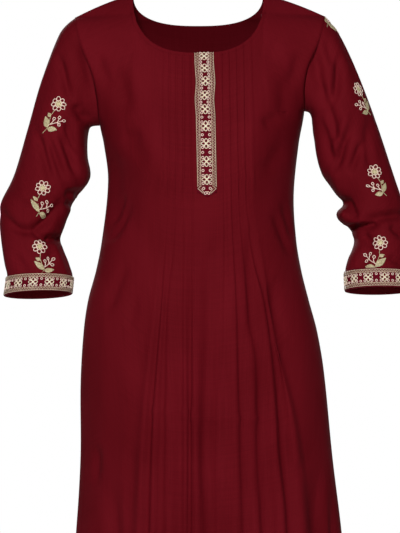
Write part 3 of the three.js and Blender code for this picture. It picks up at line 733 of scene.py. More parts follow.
# %% The back's folds
BACK_FOLDS = [
    fold([(-20, 690), (-34, 860), (-40, 1040)], 12, 7.5, end=1),
    fold([(46, 660), (52, 840), (60, 1040)], 13, 8.1, end=1),
    fold([(104, 640), (122, 840), (136, 1040)], 14, 8.8, end=1),
    fold([(-92, 650), (-110, 830), (-120, 1040)], 13, 8.5, end=1),
    fold([(-150, 700), (-168, 880), (-176, 1040)], 11, 7.5, end=1),
    fold([(168, 700), (186, 900), (196, 1040)], 11, 7.5, end=1),
    fold([(8, 760), (10, 1040)], 8, 4.2, end=1),
    fold([(-60, 372), (0, 384), (66, 374)], 10, 5.2),
    fold([(-112, 352), (-60, 404), (-20, 412)], 9, 4.5),
    fold([(118, 350), (70, 398), (26, 408)], 9, 4.9),
    fold([(-128, 430), (-70, 452), (-16, 446)], 9, 3.9),
    fold([(126, 440), (74, 460), (24, 452)], 9, 3.6),
    fold([(-150, 210), (-112, 262), (-84, 330)], 11, 4.9),
    fold([(152, 196), (118, 256), (90, 326)], 11, 5.2),
    fold([(-146, 92), (-118, 150), (-110, 214)], 12, 3.9),
    fold([(146, 88), (122, 148), (114, 210)], 12, 3.9),
    fold([(-86, 208), (0, 204), (88, 209)], 9, -2, sharp=True),
    fold([(-84, 450), (0, 452), (82, 449)], 8, -1.2, sharp=True),
    fold([(-92, 664), (0, 668), (96, 665)], 7, -2.6, sharp=True),
]
print(f"{len(BACK_FOLDS)} folds, the deepest {max(one['depth'] for one in BACK_FOLDS)} mm")

# %% [markdown]
# The back has no tucks, so its middle columns are evenly spaced and only flare a little towards the hem.

# %% Make the back
BACK_MIDDLE = 60
BACK_COLUMNS = 26
BACK_WIDER = 1.25  # how many times wider apart the middle columns are at the hem
BACK_FLARES = (400, 1000)
BACK_WAVES = (60, 170)


def back_columns():
    def line(x):
        return lambda down: x * mix(1, BACK_WIDER, smooth(down, *BACK_FLARES))

    middle = [line(x) for x in np.linspace(-BACK_MIDDLE, BACK_MIDDLE, BACK_COLUMNS)]
    columns = side_columns(-1, line(-BACK_MIDDLE))
    columns += [(top_x(column), column) for column in middle]
    columns += side_columns(1, line(BACK_MIDDLE))[::-1]
    return columns[::-1]


def make_back():
    """The back's cloth: the smooth panel with its waves and folds."""
    points = panel(back_columns(), "back", NECK_BACK)
    x, down = points[:, :, 0], -points[:, :, 2]
    waves = waves_allowed(x, down, BACK_WAVES) * ripples(x, down, 0.8, seed=8)
    return creased(points + outwards(points) * waves[:, :, None], (), BACK_FOLDS)


back_points = make_back()
kameez_back = cloth("kameez_back_cloth", back_points)

# %% [markdown]
# ## The sleeves
#
# A sleeve is a tube set into the armhole. It is made ring by ring: each ring's outer and inner ends as
# seen from the front, its depth, and how far the forearm's part reaches forward.

# %% The sleeves' rings
# (ring, outer x, outer down, inner x, inner down, half depth, middle's y, lift of the front)
SLEEVE_LEFT = [
    (0, -200, 38, -160, 211, 52, 0, 0),
    (1, -224, 63, -175, 213, 54, -1, 0),
    (2, -252, 136, -180, 230, 54, -1, 0),
    (3, -273, 210, -180, 260, 54, 0, 0),
    (4, -296, 286, -176, 294, 55, 2, 1),
    (5, -318, 333, -198, 329, 54, 2, 3),
    (6, -320, 362, -211, 358, 51, -3, 5),
    (7, -317, 395, -222, 393, 48, -10, 6),
    (8, -312, 430, -209, 432, 47, -18, 7),
    (9, -307, 454, -203, 453, 47, -23, 7),
    (10, -310, 483, -205, 479, 48, -28, 7),
]
SLEEVE_RIGHT = [
    (0, 200, 36, 167, 188, 52, 0, 0),
    (1, 222, 64, 175, 191, 54, -1, 0),
    (2, 250, 122, 178, 209, 54, -1, 0),
    (3, 273, 181, 181, 231, 54, 0, 0),
    (4, 307, 281, 193, 283, 55, 2, 1),
    (5, 325, 333, 227, 331, 53, 2, 3),
    (6, 331, 362, 226, 360, 51, -3, 5),
    (7, 334, 392, 246, 392, 48, -10, 6),
    (8, 336, 425, 235, 425, 47, -18, 7),
    (9, 336, 445, 231, 445, 47, -22, 7),
    (10, 336, 474, 232, 475, 48, -27, 7),
]
CUFF_RING = 9  # the cuff's band starts here
LAST_RING = 10
SIDES = {"left": (LEFT, SLEEVE_LEFT), "right": (RIGHT, SLEEVE_RIGHT)}
for name, (_, rings) in SIDES.items():
    print(f"{name} sleeve: {abs(rings[-1][1] - rings[-1][3])} mm across at the cuff")

# %% [markdown]
# The rings between the table's rows come from smooth curves through it. At the top the tube goes over to
# the armhole's own edge, just under the body's cloth, as a set-in sleeve does.

# %% A sleeve's smooth tube
UNDER_EDGE = 0.5  # how far the sleeve's first ring lies under the armhole's edge
SLEEVE_ROWS = 132
SLEEVE_COLUMNS = 112
FINE_STEPS = 400  # for measuring the length of the tube's middle line


def ring_points(rings, ring, turn):
    """Places on a sleeve by ring and by angle round it: 0 outside, a quarter turn to the front."""
    outer_x, outer_down, inner_x, inner_down, deep, mid, lift = (
        follow([(row[0], row[k]) for row in rings], ring) for k in range(1, 8)
    )
    round_x, round_y = np.cos(turn), np.sin(turn)
    x = (outer_x + inner_x) / 2 + (outer_x - inner_x) / 2 * round_x
    down = (outer_down + inner_down) / 2 + (outer_down - inner_down) / 2 * round_x - lift * round_y
    return np.stack([x, mid - deep * round_y, -down], axis=-1)


def armhole_points(side, turn):
    """Places on the armhole's edge of the body, by angle round it from the shoulder."""
    down = mix(side["shoulder"], side["underarm"], (1 - np.cos(turn)) / 2)
    depth = edge_depth(side["shoulder"], side["underarm"], down)
    x = side["sign"] * (follow(side["edge"], down) - UNDER_EDGE)
    under = np.sign(np.sin(turn)) * np.maximum(depth - UNDER_EDGE, 0)
    return np.stack([x, -under, -down - UNDER_EDGE * np.cos(turn)], axis=-1)


def sleeve_grid(side, rings, first=0, last=LAST_RING, rows=SLEEVE_ROWS):
    """A sleeve's smooth points, from its seam on the inside of the arm right round to it again."""
    fine = np.linspace(first, last, FINE_STEPS)
    middle = (ring_points(rings, fine, 0.0) + ring_points(rings, fine, np.pi)) / 2
    length = np.concatenate([[0], np.cumsum(np.linalg.norm(np.diff(middle, axis=0), axis=1))])
    ring = np.interp(np.linspace(0, length[-1], rows), length, fine)[:, None]
    way = np.linspace(-np.pi, np.pi, SLEEVE_COLUMNS + 1)[None]
    turn = np.pi + (way + np.pi) if side["sign"] < 0 else -way
    ring, turn = np.broadcast_arrays(ring, turn)
    joined = smooth(ring, 0, 1)[:, :, None]
    points = mix(armhole_points(side, turn), ring_points(rings, ring, turn), joined)
    points[:, -1] = points[:, 0]
    return points


print(f"{SLEEVE_ROWS} x {SLEEVE_COLUMNS} places on each sleeve")

# %% [markdown]
# Sleeve cloth folds where the arm bends, in arcs round the elbow, and drags in long lines from the
# armhole. Each sleeve has its own folds, because the two arms are held differently.

# %% The sleeves' folds
SLEEVE_FOLDS = {
    "left": {
        "front": [
            fold([(-196, 56), (-184, 96), (-172, 140), (-170, 176)], 8, 8.5),
            fold([(-228, 92), (-216, 136), (-202, 180)], 7, 8.5),
            fold([(-199, 176), (-190, 194), (-177, 208)], 8.5, 7.5),
            fold([(-212, 196), (-206, 226), (-196, 250), (-186, 262)], 7.5, 9),
            fold([(-262, 216), (-248, 262), (-230, 312)], 6.8, 10, start=0.2, end=0.2),
            fold([(-242, 228), (-228, 264), (-212, 306)], 6.4, 10, start=0.2, end=0.2),
            fold([(-224, 220), (-206, 258), (-192, 300)], 6.4, 10, start=0.2, end=0.2),
            fold([(-216, 318), (-202, 322), (-188, 318)], 7.5, 7.5, end=0.6),
            fold([(-314, 352), (-296, 374), (-270, 381), (-240, 364), (-212, 322)], 7.5, 12, start=0.4),
            fold([(-270, 374), (-246, 392), (-222, 394)], 6, 9.5),
            fold([(-192, 341), (-216, 334)], 5.5, 6.9, start=1),
            fold([(-214, 394), (-244, 388)], 5.5, 10, start=1),
            fold([(-296, 304), (-262, 334), (-226, 342)], 10, -6),
            fold([(-298, 410), (-284, 430), (-264, 450)], 8, 4.5),
            fold([(-228, 404), (-238, 428), (-242, 450)], 8, 5),
        ],
        "back": [
            fold([(-204, 60), (-196, 120), (-178, 176)], 8.5, 6.8),
            fold([(-232, 140), (-220, 180), (-202, 218)], 7.5, 6.8),
            fold([(-266, 200), (-250, 244), (-232, 290)], 7.5, 6.8),
            fold([(-302, 318), (-262, 342), (-212, 326)], 7.5, 10, end=0.6),
            fold([(-308, 364), (-264, 374), (-220, 358)], 7, 7.5, end=0.6),
            fold([(-274, 394), (-266, 420), (-260, 450)], 7.5, 5),
        ],
    },
    "right": {
        "front": [
            fold([(180, 80), (184, 122), (190, 160), (194, 190)], 9, 10, start=0.4, end=0.5),
            fold([(186, 200), (198, 240), (214, 288)], 10, 10, start=0.5),
            fold([(198, 160), (208, 206), (224, 262)], 8, 8.5, start=0.3, end=0.3),
            fold([(200, 70), (206, 96), (208, 122)], 8, 6),
            fold([(221, 90), (220, 136), (208, 188)], 7.5, 11),
            fold([(236, 180), (222, 226), (205, 268)], 8, -7),
            fold([(241, 210), (223, 250), (211, 296)], 6.2, 9),
            fold([(260, 232), (247, 262), (234, 294)], 6.2, 9),
            fold([(205, 270), (220, 306), (237, 331)], 8, -6.2),
            fold([(227, 322), (238, 340), (248, 366)], 6, 8.5),
            fold([(250, 366), (280, 358), (318, 353), (336, 350)], 7.5, 11.5, end=0.5),
            fold([(238, 377), (262, 373), (288, 366)], 5.5, 16, start=1),
            fold([(220, 353), (238, 352)], 11, -7.5, start=1),
            fold([(254, 376), (262, 394), (276, 408)], 7.5, 7),
            fold([(298, 366), (312, 380), (330, 390)], 7, 7),
            fold([(294, 414), (308, 426), (328, 434)], 7, 5.5),
            fold([(270, 190), (264, 246), (278, 306)], 8, 6),
            fold([(268, 404), (258, 424), (254, 446)], 8, 5.5),
        ],
        "back": [
            fold([(206, 60), (198, 118), (182, 168)], 8.5, 6.8),
            fold([(236, 140), (226, 176), (206, 210)], 7.5, 6.2),
            fold([(272, 192), (258, 236), (240, 284)], 7.5, 7.2),
            fold([(318, 314), (276, 342), (238, 326)], 7.5, 10, end=0.6),
            fold([(324, 364), (282, 374), (248, 360)], 7, 7.5, end=0.6),
            fold([(288, 392), (282, 418), (276, 446)], 7.5, 4.5),
        ],
    },
}
for name, folds in SLEEVE_FOLDS.items():
    print(f"{name} sleeve: {len(folds['front'])} folds in front and {len(folds['back'])} behind")

# %% [markdown]
# A seam's cloth is turned in, so a sleeve runs on a few millimetres inside the body. Without that strip,
# light would show through the armhole from inside. Waves and folds stay clear of the cuff, which is held
# flat by its band, and of the seam.

# %% Make the sleeves
TURNED_IN = 6
SLEEVE_REACH = 0.35  # how far a fold carries on round the sleeve, out of sight
WAVES_BEGIN = (0.02, 0.14)  # shares of the way down the sleeve
WAVES_END = (0.9, 0.97)


def sleeve_points(name):
    """A sleeve's cloth, with its waves and folds."""
    side, rings = SIDES[name]
    folds = SLEEVE_FOLDS[name]
    points = sleeve_grid(side, rings)
    normal = outwards(points)
    along = np.linspace(0, 1, SLEEVE_ROWS)[:, None]
    calm = smooth(along, *WAVES_BEGIN) * (1 - smooth(along, *WAVES_END))
    around = points[:, :, 1] * 1.5 + points[:, :, 0] * 0.6
    points = points + normal * (calm * ripples(around, -points[:, :, 2], 0.55, seed=5))[:, :, None]
    return creased(points, folds["front"], folds["back"], reach=SLEEVE_REACH)


def with_turned_in_edge(side, points):
    """The sleeve's points with a strip in front of them that runs on inside the body's edge."""
    return np.concatenate([points[:1] - [side["sign"] * TURNED_IN, 0, 0], points])


sleeve_cloth = {}
sleeve_surface = {}
for name in SIDES:
    sleeve_surface[name] = sleeve_points(name)
    turned_in = with_turned_in_edge(SIDES[name][0], sleeve_surface[name])
    sleeve_cloth[name] = cloth(f"sleeve_{name}_cloth", turned_in)

# %% [markdown]
# ## The bands
#
# The band down the middle and the bands on the cuffs are strips of the same red cloth, embroidered all
# over and sewn on. Each lies on its panel, so its points are the panel's, moved outwards by the strip's
# thickness. The middle one ends in a shallow point.

# %% The middle band and the cuff bands
BAND = 1.4  # a band's thickness
BAND_LIFT = SEAM + BAND
PLACKET_ROWS = 100
PLACKET_COLUMNS = 9
CUFF_ROWS = 12
# Where the band's sides waver: (down, half its length, how far across).
WAVERS = ((147, 16, 1.3), (178, 14, -1.2))


def placket_points():
    """The band's points by rows down it. Its sides waver a little, as a sewn strip does."""
    across = np.linspace(-1, 1, PLACKET_COLUMNS)[None]
    share = np.linspace(0, 1, PLACKET_ROWS)[:, None]
    end = mix(PLACKET_TIP, PLACKET_END, np.abs(across))
    centre = line_x(CENTRE, mix(NECK_FRONT, end, share))
    x = centre + across * PLACKET_HALF
    down = mix(top_edge(x, NECK_FRONT), end, share)
    x = x + sum(out * np.exp(-(((down - at) / half) ** 2)) for at, half, out in WAVERS)
    base = creased(np.stack([x, -body_depth(x, down, "front"), -down], axis=2), FRONT_FOLDS)
    return base + outwards(base) * BAND_LIFT


def cuff_points(name):
    """A cuff band's points: the sleeve's last stretch, moved outwards."""
    side, rings = SIDES[name]
    points = sleeve_grid(side, rings, first=CUFF_RING, last=LAST_RING, rows=CUFF_ROWS)
    return points + outwards(points) * BAND_LIFT


band_surface = {"placket": placket_points(), "left": cuff_points("left"), "right": cuff_points("right")}
placket_band = cloth("placket_band", band_surface["placket"], thickness=BAND)
cuff_band = {name: cloth(f"cuff_band_{name}_cloth", band_surface[name], thickness=BAND) for name in SIDES}

# %% [markdown]
# ## The salwar
#
# The salwar hangs inside the kameez from a casing at the waist and shows below the hem and in the slits.
# It is plain: two legs, each with its half of the hips, a casing and an ankle band on each leg. A seam
# runs down the inside of each leg, where the grid's two edges meet.

# %% The salwar's sizes
WAIST_TOP = 432
WAIST_SEAM = 468
LEGS_PART = (600, 720)
ANKLE_SEAM = 1244
SALWAR_LENGTH = 1290
SALWAR_CLOTH = 1.6  # the kameez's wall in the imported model, which the hips' cloth lies inside
SALWAR_SLACK = 3.5  # how much looser it is in front and at the sides than at the seat
# (down, how much further in the hips' cloth lies)
SALWAR_EASE = [(432, 9), (510, 6), (550, 3), (595, 0.5), (640, 3), (700, 9), (760, 14)]
# (down, middle's x, middle's y, half width, half depth)
LEG = [
    (640, 92, 2, 86, 92), (700, 92, 2, 85, 88), (800, 95, 4, 84, 86), (950, 100, 8, 80, 84),
    (1100, 104, 12, 73, 79), (1244, 106, 18, 64, 73), (1290, 106, 18, 63, 72),
]
print(f"the salwar is {SALWAR_LENGTH - WAIST_TOP} mm long")

# %% [markdown]
# Its smooth form has two parts. The hips follow the kameez's own outline, a little inside it, and each
# leg is an upright tapering tube. Between the two heights where the legs part, one goes over to the other.

# %% The hips and the legs
def hip_points(side, down, share):
    """The hips' cloth by its share round one half: 0 at the centre front, 1 at the centre back."""
    turn = np.pi * share
    slack = np.where(share < 0.5, SALWAR_SLACK, SALWAR_SLACK * np.sin(turn))
    inset = SALWAR_CLOTH + follow(SALWAR_EASE, down) + slack
    edge = follow(side["edge"], down)
    width = (edge - inset) * np.abs(np.sin(turn)) ** (2 / WAIST["square"])
    full = np.where(share < 0.5, follow(DEPTH["front"], down), follow(DEPTH["back"], down))
    x = side["sign"] * np.maximum(width, SEAM / 2)
    return np.stack([x, -(full - inset) * np.cos(turn), -down], axis=-1)


def leg_points(side, down, share):
    """A leg's cloth by its share round it, from its inside seam over the front and the back."""
    x, y, wide, deep = (follow([(row[0], row[k]) for row in LEG], down) for k in range(1, 5))
    turn = 2 * np.pi * share
    seam = np.where(share < 0.5, -SEAM / 2, SEAM / 2)
    x = side["sign"] * (x - wide * np.cos(turn))
    return np.stack([x, y - deep * np.sin(turn) + seam, -down], axis=-1)


print(f"each leg is {2 * LEG[0][3]} mm wide at the top and {2 * LEG[-1][3]} mm at the ankle")

# %% [markdown]
# The legs have long soft folds that fall to the ankles, and a sag above each ankle band.

# %% The legs' folds
LEG_FOLDS = {
    "front": [
        fold([(-70, 1080), (-84, 1240)], 12, 4.7),
        fold([(-120, 1040), (-112, 1238)], 13, 5.5),
        fold([(-146, 1120), (-138, 1240)], 10, 4.4),
        fold([(74, 1060), (86, 1240)], 12, 4.9),
        fold([(118, 1090), (112, 1240)], 12, 4.7),
        fold([(152, 1040), (142, 1236)], 11, 5.2),
        fold([(-58, 1196), (-104, 1214), (-150, 1200)], 10, 4.4),
        fold([(64, 1206), (110, 1220), (156, 1204)], 10, 3.9),
    ],
    "back": [
        fold([(-92, 1040), (-98, 1238)], 13, 5.7),
        fold([(-138, 1090), (-128, 1240)], 11, 4.7),
        fold([(88, 1060), (96, 1238)], 13, 5.5),
        fold([(136, 1040), (128, 1240)], 11, 4.9),
        fold([(-70, 1188), (-112, 1206), (-152, 1190)], 10, 4.7),
        fold([(66, 1180), (108, 1200), (150, 1186)], 10, 4.4),
    ],
}
print(f"{len(LEG_FOLDS['front'])} folds in front and {len(LEG_FOLDS['back'])} behind")

# %% [markdown]
# A leg is gathered into the casing and into the ankle band, so it has small even waves at both ends and
# soft, wider ones between. Under the kameez's front the hips' cloth is pressed back, so that the kameez's
# own folds have room.

# %% A gathered leg
LEG_COLUMNS = 96
LEG_ROWS = 150
TUCK_UNDER = 6  # how far both ends run on under the casing and the band
UNDER_BAND = 1.7
GATHERS = 15  # waves round one leg
GATHER_DEPTH = 1.6
SWAY_DEPTH = 1.2
WAIST_FADE = 70  # how far down from the casing the waves reach
ANKLE_FADE = 60
FLAT_END = 24  # over this height above the ankle band the folds fade out
SWAY_BEGINS = (760, 1000)
GIVE = 6.5
PRESSED_BACK = (470, 530)  # from where to where down the leg the pressing begins
LET_GO = (800, 880)
PRESSED_SHARE = (0.3, 0.5)  # the shares round the leg between which it ends


def salwar_leg(side):
    """One leg with its half of the hips, gathered, its ends tucked under the casing and the band."""
    down = np.linspace(WAIST_SEAM - TUCK_UNDER, ANKLE_SEAM + TUCK_UNDER, LEG_ROWS)[:, None]
    share = np.linspace(0, 1, LEG_COLUMNS + 1)[None]
    share = share if side["sign"] > 0 else share[:, ::-1]
    down, share = np.broadcast_arrays(down, share)
    legness = smooth(down, *LEGS_PART)[:, :, None]
    points = mix(hip_points(side, down, share), leg_points(side, down, share), legness)
    near_waist = 1 - smooth(down, WAIST_SEAM, WAIST_SEAM + WAIST_FADE)
    near_ankle = smooth(down, ANKLE_SEAM - ANKLE_FADE, ANKLE_SEAM)
    gathered = np.maximum(near_waist, near_ankle)
    wave = (1 + np.sin(2 * np.pi * GATHERS * share + 1.4 * np.sin(7 * share))) / 2
    sway = (1 + np.sin(9 * share + down / 60)) / 2 * smooth(down, *SWAY_BEGINS) * (1 - gathered)
    away = np.sin(np.pi * share)
    inwards = UNDER_BAND * gathered + away * (GATHER_DEPTH * gathered * wave + SWAY_DEPTH * sway)
    covered = smooth(down, *PRESSED_BACK) * (1 - smooth(down, *LET_GO))
    covered = covered * (1 - smooth(share, *PRESSED_SHARE))
    back = GIVE * covered * mix(1, np.minimum(away * 3, 1), legness[:, :, 0])
    points = points + np.stack([0 * down, back, 0 * down], axis=2)
    smooth_leg = points - outwards(points) * inwards[:, :, None]
    folded = creased(smooth_leg, LEG_FOLDS["front"], LEG_FOLDS["back"])
    return mix(folded, smooth_leg, smooth(down, ANKLE_SEAM - FLAT_END, ANKLE_SEAM)[:, :, None])


leg_surface = {name: salwar_leg(side) for name, (side, _) in SIDES.items()}
print(f"{LEG_ROWS} x {LEG_COLUMNS} places on each leg, {GATHERS} gathers")

# %% [markdown]
# The casing and the ankle bands are closed rings of doubled cloth. They follow the same two forms as the
# hips and the legs, but without the gathers, so they lie smoothly over them.

# %% Make the salwar
LEG_CLOTH = 1.2
DOUBLED_CLOTH = 1.5
ANKLE_ROWS, ANKLE_COLUMNS = 12, 64
WAIST_ROWS, WAIST_COLUMNS = 10, 128


def salwar_ring(place, heights, shares):
    """A closed band of cloth, from a function that gives a height's places."""
    down, share = np.broadcast_arrays(np.array(heights, float)[:, None], shares[None])
    points = place(down, share)
    points[:, -1] = points[:, 0]
    return points


def waist_places(down, share):
    """Places right round the waist: the left half from back to front, then the right half."""
    left = hip_points(LEFT, down, 1 - 2 * share)
    right = hip_points(RIGHT, down, 2 * share - 1)
    return np.where((share < 0.5)[:, :, None], left, right)


salwar_cloth = {}
ankle_heights = np.linspace(ANKLE_SEAM, SALWAR_LENGTH, ANKLE_ROWS)
for name, (side, _) in SIDES.items():
    salwar_cloth[f"leg_{name}"] = cloth(f"salwar_leg_{name}_cloth", leg_surface[name], thickness=LEG_CLOTH)
    round_leg = np.linspace(0, 1, ANKLE_COLUMNS + 1)
    if side["sign"] < 0:
        round_leg = np.linspace(1, 0, ANKLE_COLUMNS + 1)
    ankle = salwar_ring(lambda d, s, side=side: leg_points(side, d, s), ankle_heights, round_leg)
    salwar_cloth[f"ankle_{name}"] = cloth(f"salwar_ankle_band_{name}_cloth", ankle, thickness=DOUBLED_CLOTH)
waist_heights = np.linspace(WAIST_TOP, WAIST_SEAM, WAIST_ROWS)
waist = salwar_ring(waist_places, waist_heights, np.linspace(0, 1, WAIST_COLUMNS + 1))
salwar_cloth["casing"] = cloth("salwar_waist_casing_cloth", waist, thickness=DOUBLED_CLOTH)

# %% [markdown]
# ## Threads
#
# The embroidery is real thread on the cloth. A stitched line is a curve with a small round bevel, and
# many of them become one mesh, which is quick to make and to render. `threads` takes lines of places in
# millimetres. A line whose ends meet becomes a closed loop.

# %% Threads as bevelled curves
THREAD_LIFT = 0.35  # how far the embroidery's middle line lies above the cloth


def threads(name, lines, radius):
    """One object from many threads, each a list of places in millimetres."""
    curve = bpy.data.curves.new(name, "CURVE")
    curve.dimensions = "3D"
    curve.bevel_depth = radius * MM
    curve.bevel_resolution = 1
    curve.use_fill_caps = True
    for line in lines:
        closed = len(line) > 3 and np.allclose(line[0], line[-1], atol=MEETS)
        places = line[:-1] if closed else line
        spline = curve.splines.new("POLY")
        spline.points.add(len(places) - 1)
        spline.points.foreach_set("co", np.column_stack([places * MM, np.ones(len(places))]).ravel())
        spline.use_cyclic_u = closed
    holder = bpy.data.objects.new(name, curve)
    bpy.context.scene.collection.objects.link(holder)
    made = bpy.data.meshes.new_from_object(holder.evaluated_get(bpy.context.evaluated_depsgraph_get()))
    bpy.data.objects.remove(holder)
    bpy.data.curves.remove(curve)
    made.name = name
    made.polygons.foreach_set("use_smooth", [True] * len(made.polygons))
    piece = bpy.data.objects.new(name, made)
    bpy.context.scene.collection.objects.link(piece)
    print(f"{name}: {len(lines)} threads, {sum(len(p.vertices) - 2 for p in made.polygons)} triangles")
    return piece


def on_grid(points, across, along, lift=THREAD_LIFT):
    """Places on a grid of cloth by their shares across it and down it, lifted off its face."""
    rows, columns = points.shape[:2]
    normal = outwards(points)
    r = np.clip(along, 0, 1) * (rows - 1)
    c = np.clip(across, 0, 1) * (columns - 1)
    i, j = np.minimum(r.astype(int), rows - 2), np.minimum(c.astype(int), columns - 2)
    r, c = (r - i)[:, None], (c - j)[:, None]

    def blend(grid):
        return mix(mix(grid[i, j], grid[i, j + 1], c), mix(grid[i + 1, j], grid[i + 1, j + 1], c), r)

    return blend(points) + blend(normal) * lift


band_middle = on_grid(band_surface["placket"], np.array([0.5]), np.array([0.5]))[0]
print("a thread on the middle band lies at", np.round(band_middle, 1))

# %% [markdown]
# ## The border pattern
#
# Both borders have the same traditional repeat. Two rails run along the edges, each a pair of lines with
# a zigzag between them. Between the rails, flowers of four cream loops with a pink ring at each corner
# take turns with bare gaps that hold one pink ring at each side. The pattern is drawn flat, along and
# across the border, and is then laid on the band.

# %% Shapes of the border
ZIGZAG_PITCH = 4.2


def loop(along, across, turn, length, width, steps=12):
    """A closed loop that starts at a place and reaches out in a direction."""
    t = np.linspace(0, 2 * np.pi, steps + 1)
    out, aside = length * (1 - np.cos(t)) / 2, width / 2 * np.sin(t)
    return np.column_stack([along + out * math.cos(turn) - aside * math.sin(turn),
                            across + out * math.sin(turn) + aside * math.cos(turn)])


def ring(along, across, radius, steps=9):
    """A small closed circle."""
    t = np.linspace(0, 2 * np.pi, steps + 1)
    return np.column_stack([along + radius * np.cos(t), across + radius * np.sin(t)])


def border_flower(along, scale):
    """Cream loops along and across the border, diagonal strokes, and pink rings at the corners."""
    size = 6.9 * scale
    cream = [loop(along, 0, k * math.pi / 2, size, 4.6 * scale) for k in range(4)]
    pink = []
    for a in (-1, 1):
        for b in (-1, 1):
            cream.append(np.array([(along, 0), (along + a * 4.0 * scale, b * 3.8 * scale)], float))
            pink.append(ring(along + a * 5.4 * scale, b * 5.2 * scale, 1.7 * scale))
    return cream, pink


def rail(start, end, side, inner, outer):
    """Two lines with a zigzag between them, along one edge of a border."""
    steps = np.arange(start, end + 0.1, 3.0)
    lines = [np.column_stack([steps, np.full(len(steps), side * across)]) for across in (inner, outer)]
    teeth = np.arange(start, end + 0.1, ZIGZAG_PITCH / 2)
    swing = np.where(np.arange(len(teeth)) % 2, 0.8, 0.2)
    return [*lines, np.column_stack([teeth, side * mix(inner, outer, swing)])]


print(f"a flower has {len(border_flower(0, 1)[0])} cream lines and {len(border_flower(0, 1)[1])} rings")

# %% [markdown]
# The pattern's three threads are kept apart, because each colour becomes a piece of its own. Where the
# flowers lie closer together, each is squeezed a little along the border.

# %% Draw the border pattern
FLOWER_ROOM = 22.0  # how much room a flower at full length needs
RING_OUT = 5.2
THREAD_RADIUS = {"khaki": 0.58, "cream": 0.66, "pink": 0.6}


def border_pattern(start, end, flowers, rails, scale, closes):
    """A border from start to end: the lines of each of its three threads, as (along, across)."""
    inner, outer = rails
    khaki = rail(start, end, -1, inner, outer) + rail(start, end, 1, inner, outer)
    cream, pink = [], []
    for k, at in enumerate(flowers):
        last = k + 1 == len(flowers)
        pitch = (at - flowers[k - 1]) if last else (flowers[k + 1] - at)
        squeeze = np.array([min(pitch / FLOWER_ROOM / scale, 1.0), 1])
        loops, rings = border_flower(0.0, scale)
        cream += [line * squeeze + (at, 0) for line in loops]
        pink += [line * squeeze + (at, 0) for line in rings]
        if closes or not last:
            pink += [ring(at + pitch / 2, side * RING_OUT * scale, 1.6 * scale) for side in (-1, 1)]
    return {"khaki": khaki, "cream": cream, "pink": pink}


print("thread thickness in mm:", {colour: 2 * radius for colour, radius in THREAD_RADIUS.items()})

# %% [markdown]
# On the middle band the rails turn in at the lower end, towards its point, where two pink loops and two
# rings close the pattern.

# %% Lay the pattern on the middle band
PLACKET_RAILS = (9.4, 14.4)
PLACKET_SCALE = 1.1
# How far down each flower's middle lies. They lie closer where the chest slopes back.
PLACKET_FLOWERS = (107.5, 126.8, 147.3, 169.8, 192.1, 218.4, 245.6, 273.2, 300.8)
RAIL_END = 314.5
POINT_END = 325.0


def place_on_placket(line):
    """Lays a line of (down, across) on the middle band."""
    down, across = line[:, 0], line[:, 1]
    end = mix(PLACKET_TIP, PLACKET_END, np.abs(across) / PLACKET_HALF)
    share = (down - NECK_FRONT) / (end - NECK_FRONT)
    return on_grid(band_surface["placket"], across / PLACKET_HALF / 2 + 0.5, share)


placket_pattern = border_pattern(
    NECK_FRONT + 1, RAIL_END, PLACKET_FLOWERS, PLACKET_RAILS, PLACKET_SCALE, closes=False
)
for side in (-1, 1):
    for across in PLACKET_RAILS:
        slope = np.linspace(0, 1, 5)
        turned = np.column_stack([mix(RAIL_END, POINT_END - 3, slope), side * across * mix(1, 0.42, slope)])
        placket_pattern["khaki"].append(turned)
    placket_pattern["pink"].append(loop(POINT_END - 5, 0, side * 0.9, 5.2, 3.4))
    placket_pattern["pink"].append(ring(RAIL_END, side * RING_OUT, 1.8))
placket_threads = {}
for colour, lines in placket_pattern.items():
    laid = [place_on_placket(line) for line in lines]
    placket_threads[colour] = threads(f"placket_{colour}_threads", laid, THREAD_RADIUS[colour])

# %% [markdown]
# The cuff border is the same pattern at a slightly smaller scale, run right round the sleeve. Its number
# of flowers is the whole number that fits the cuff's length best, so the pattern closes on itself.

# %% Lay the pattern on the cuffs
CUFF_SCALE = 1.0
CUFF_PITCH = 25.0
CUFF_RAILS = (8.6, 12.8)


def cuff_threads(name):
    """The three pieces of thread on one cuff, by colour."""
    surface = band_surface[name]
    middle = surface[surface.shape[0] // 2]
    around = np.linalg.norm(np.diff(middle, axis=0), axis=1).sum()
    count = round(around / CUFF_PITCH)
    flowers = [(k + 0.5) * around / count for k in range(count)]
    height = np.linalg.norm(np.diff(surface, axis=0), axis=2).sum(axis=0).mean()
    pattern = border_pattern(0.0, around, flowers, CUFF_RAILS, CUFF_SCALE, closes=True)

    def place(line):
        return on_grid(surface, (line[:, 0] / around) % 1.0, 0.5 + line[:, 1] / height)

    made = {}
    for colour, lines in pattern.items():
        whole = []
        for line in lines:
            inside = line[(line[:, 0] >= 0) & (line[:, 0] < around)]
            if len(inside) > 1:
                whole.append(place(inside))
        made[colour] = threads(f"cuff_{name}_{colour}_threads", whole, THREAD_RADIUS[colour])
    print(f"cuff {name}: {around:.0f} mm round, {height:.0f} mm high, {count} flowers")
    return made


cuff_thread_pieces = {name: cuff_threads(name) for name in SIDES}

# %% [markdown]
# ## The sprigs
#
# Each sleeve carries a scatter of small sprigs: a flower of eight looped petals round a star, a stem with
# a bud and two satin-stitched leaves, and a side branch of berries. Satin stitch is many straight threads
# side by side, so a leaf is a row of short threads from its rib to its edge. A sprig is drawn flat once.
# Each of its points is then moved onto the sleeve by so many rows and so many columns of the sleeve's own
# grid, which keeps its real size and lets it bend round the arm.

# %% Draw a sprig
PETALS = 8
# (right, up, turn, length) of each berry's loop
BERRIES = ((-4.6, -26, 1.2, 4.4), (3.9, -24, 1.4, 4.6), (9.6, -27.2, 0.2, 5.4), (3.8, -32, -1.2, 4.8))


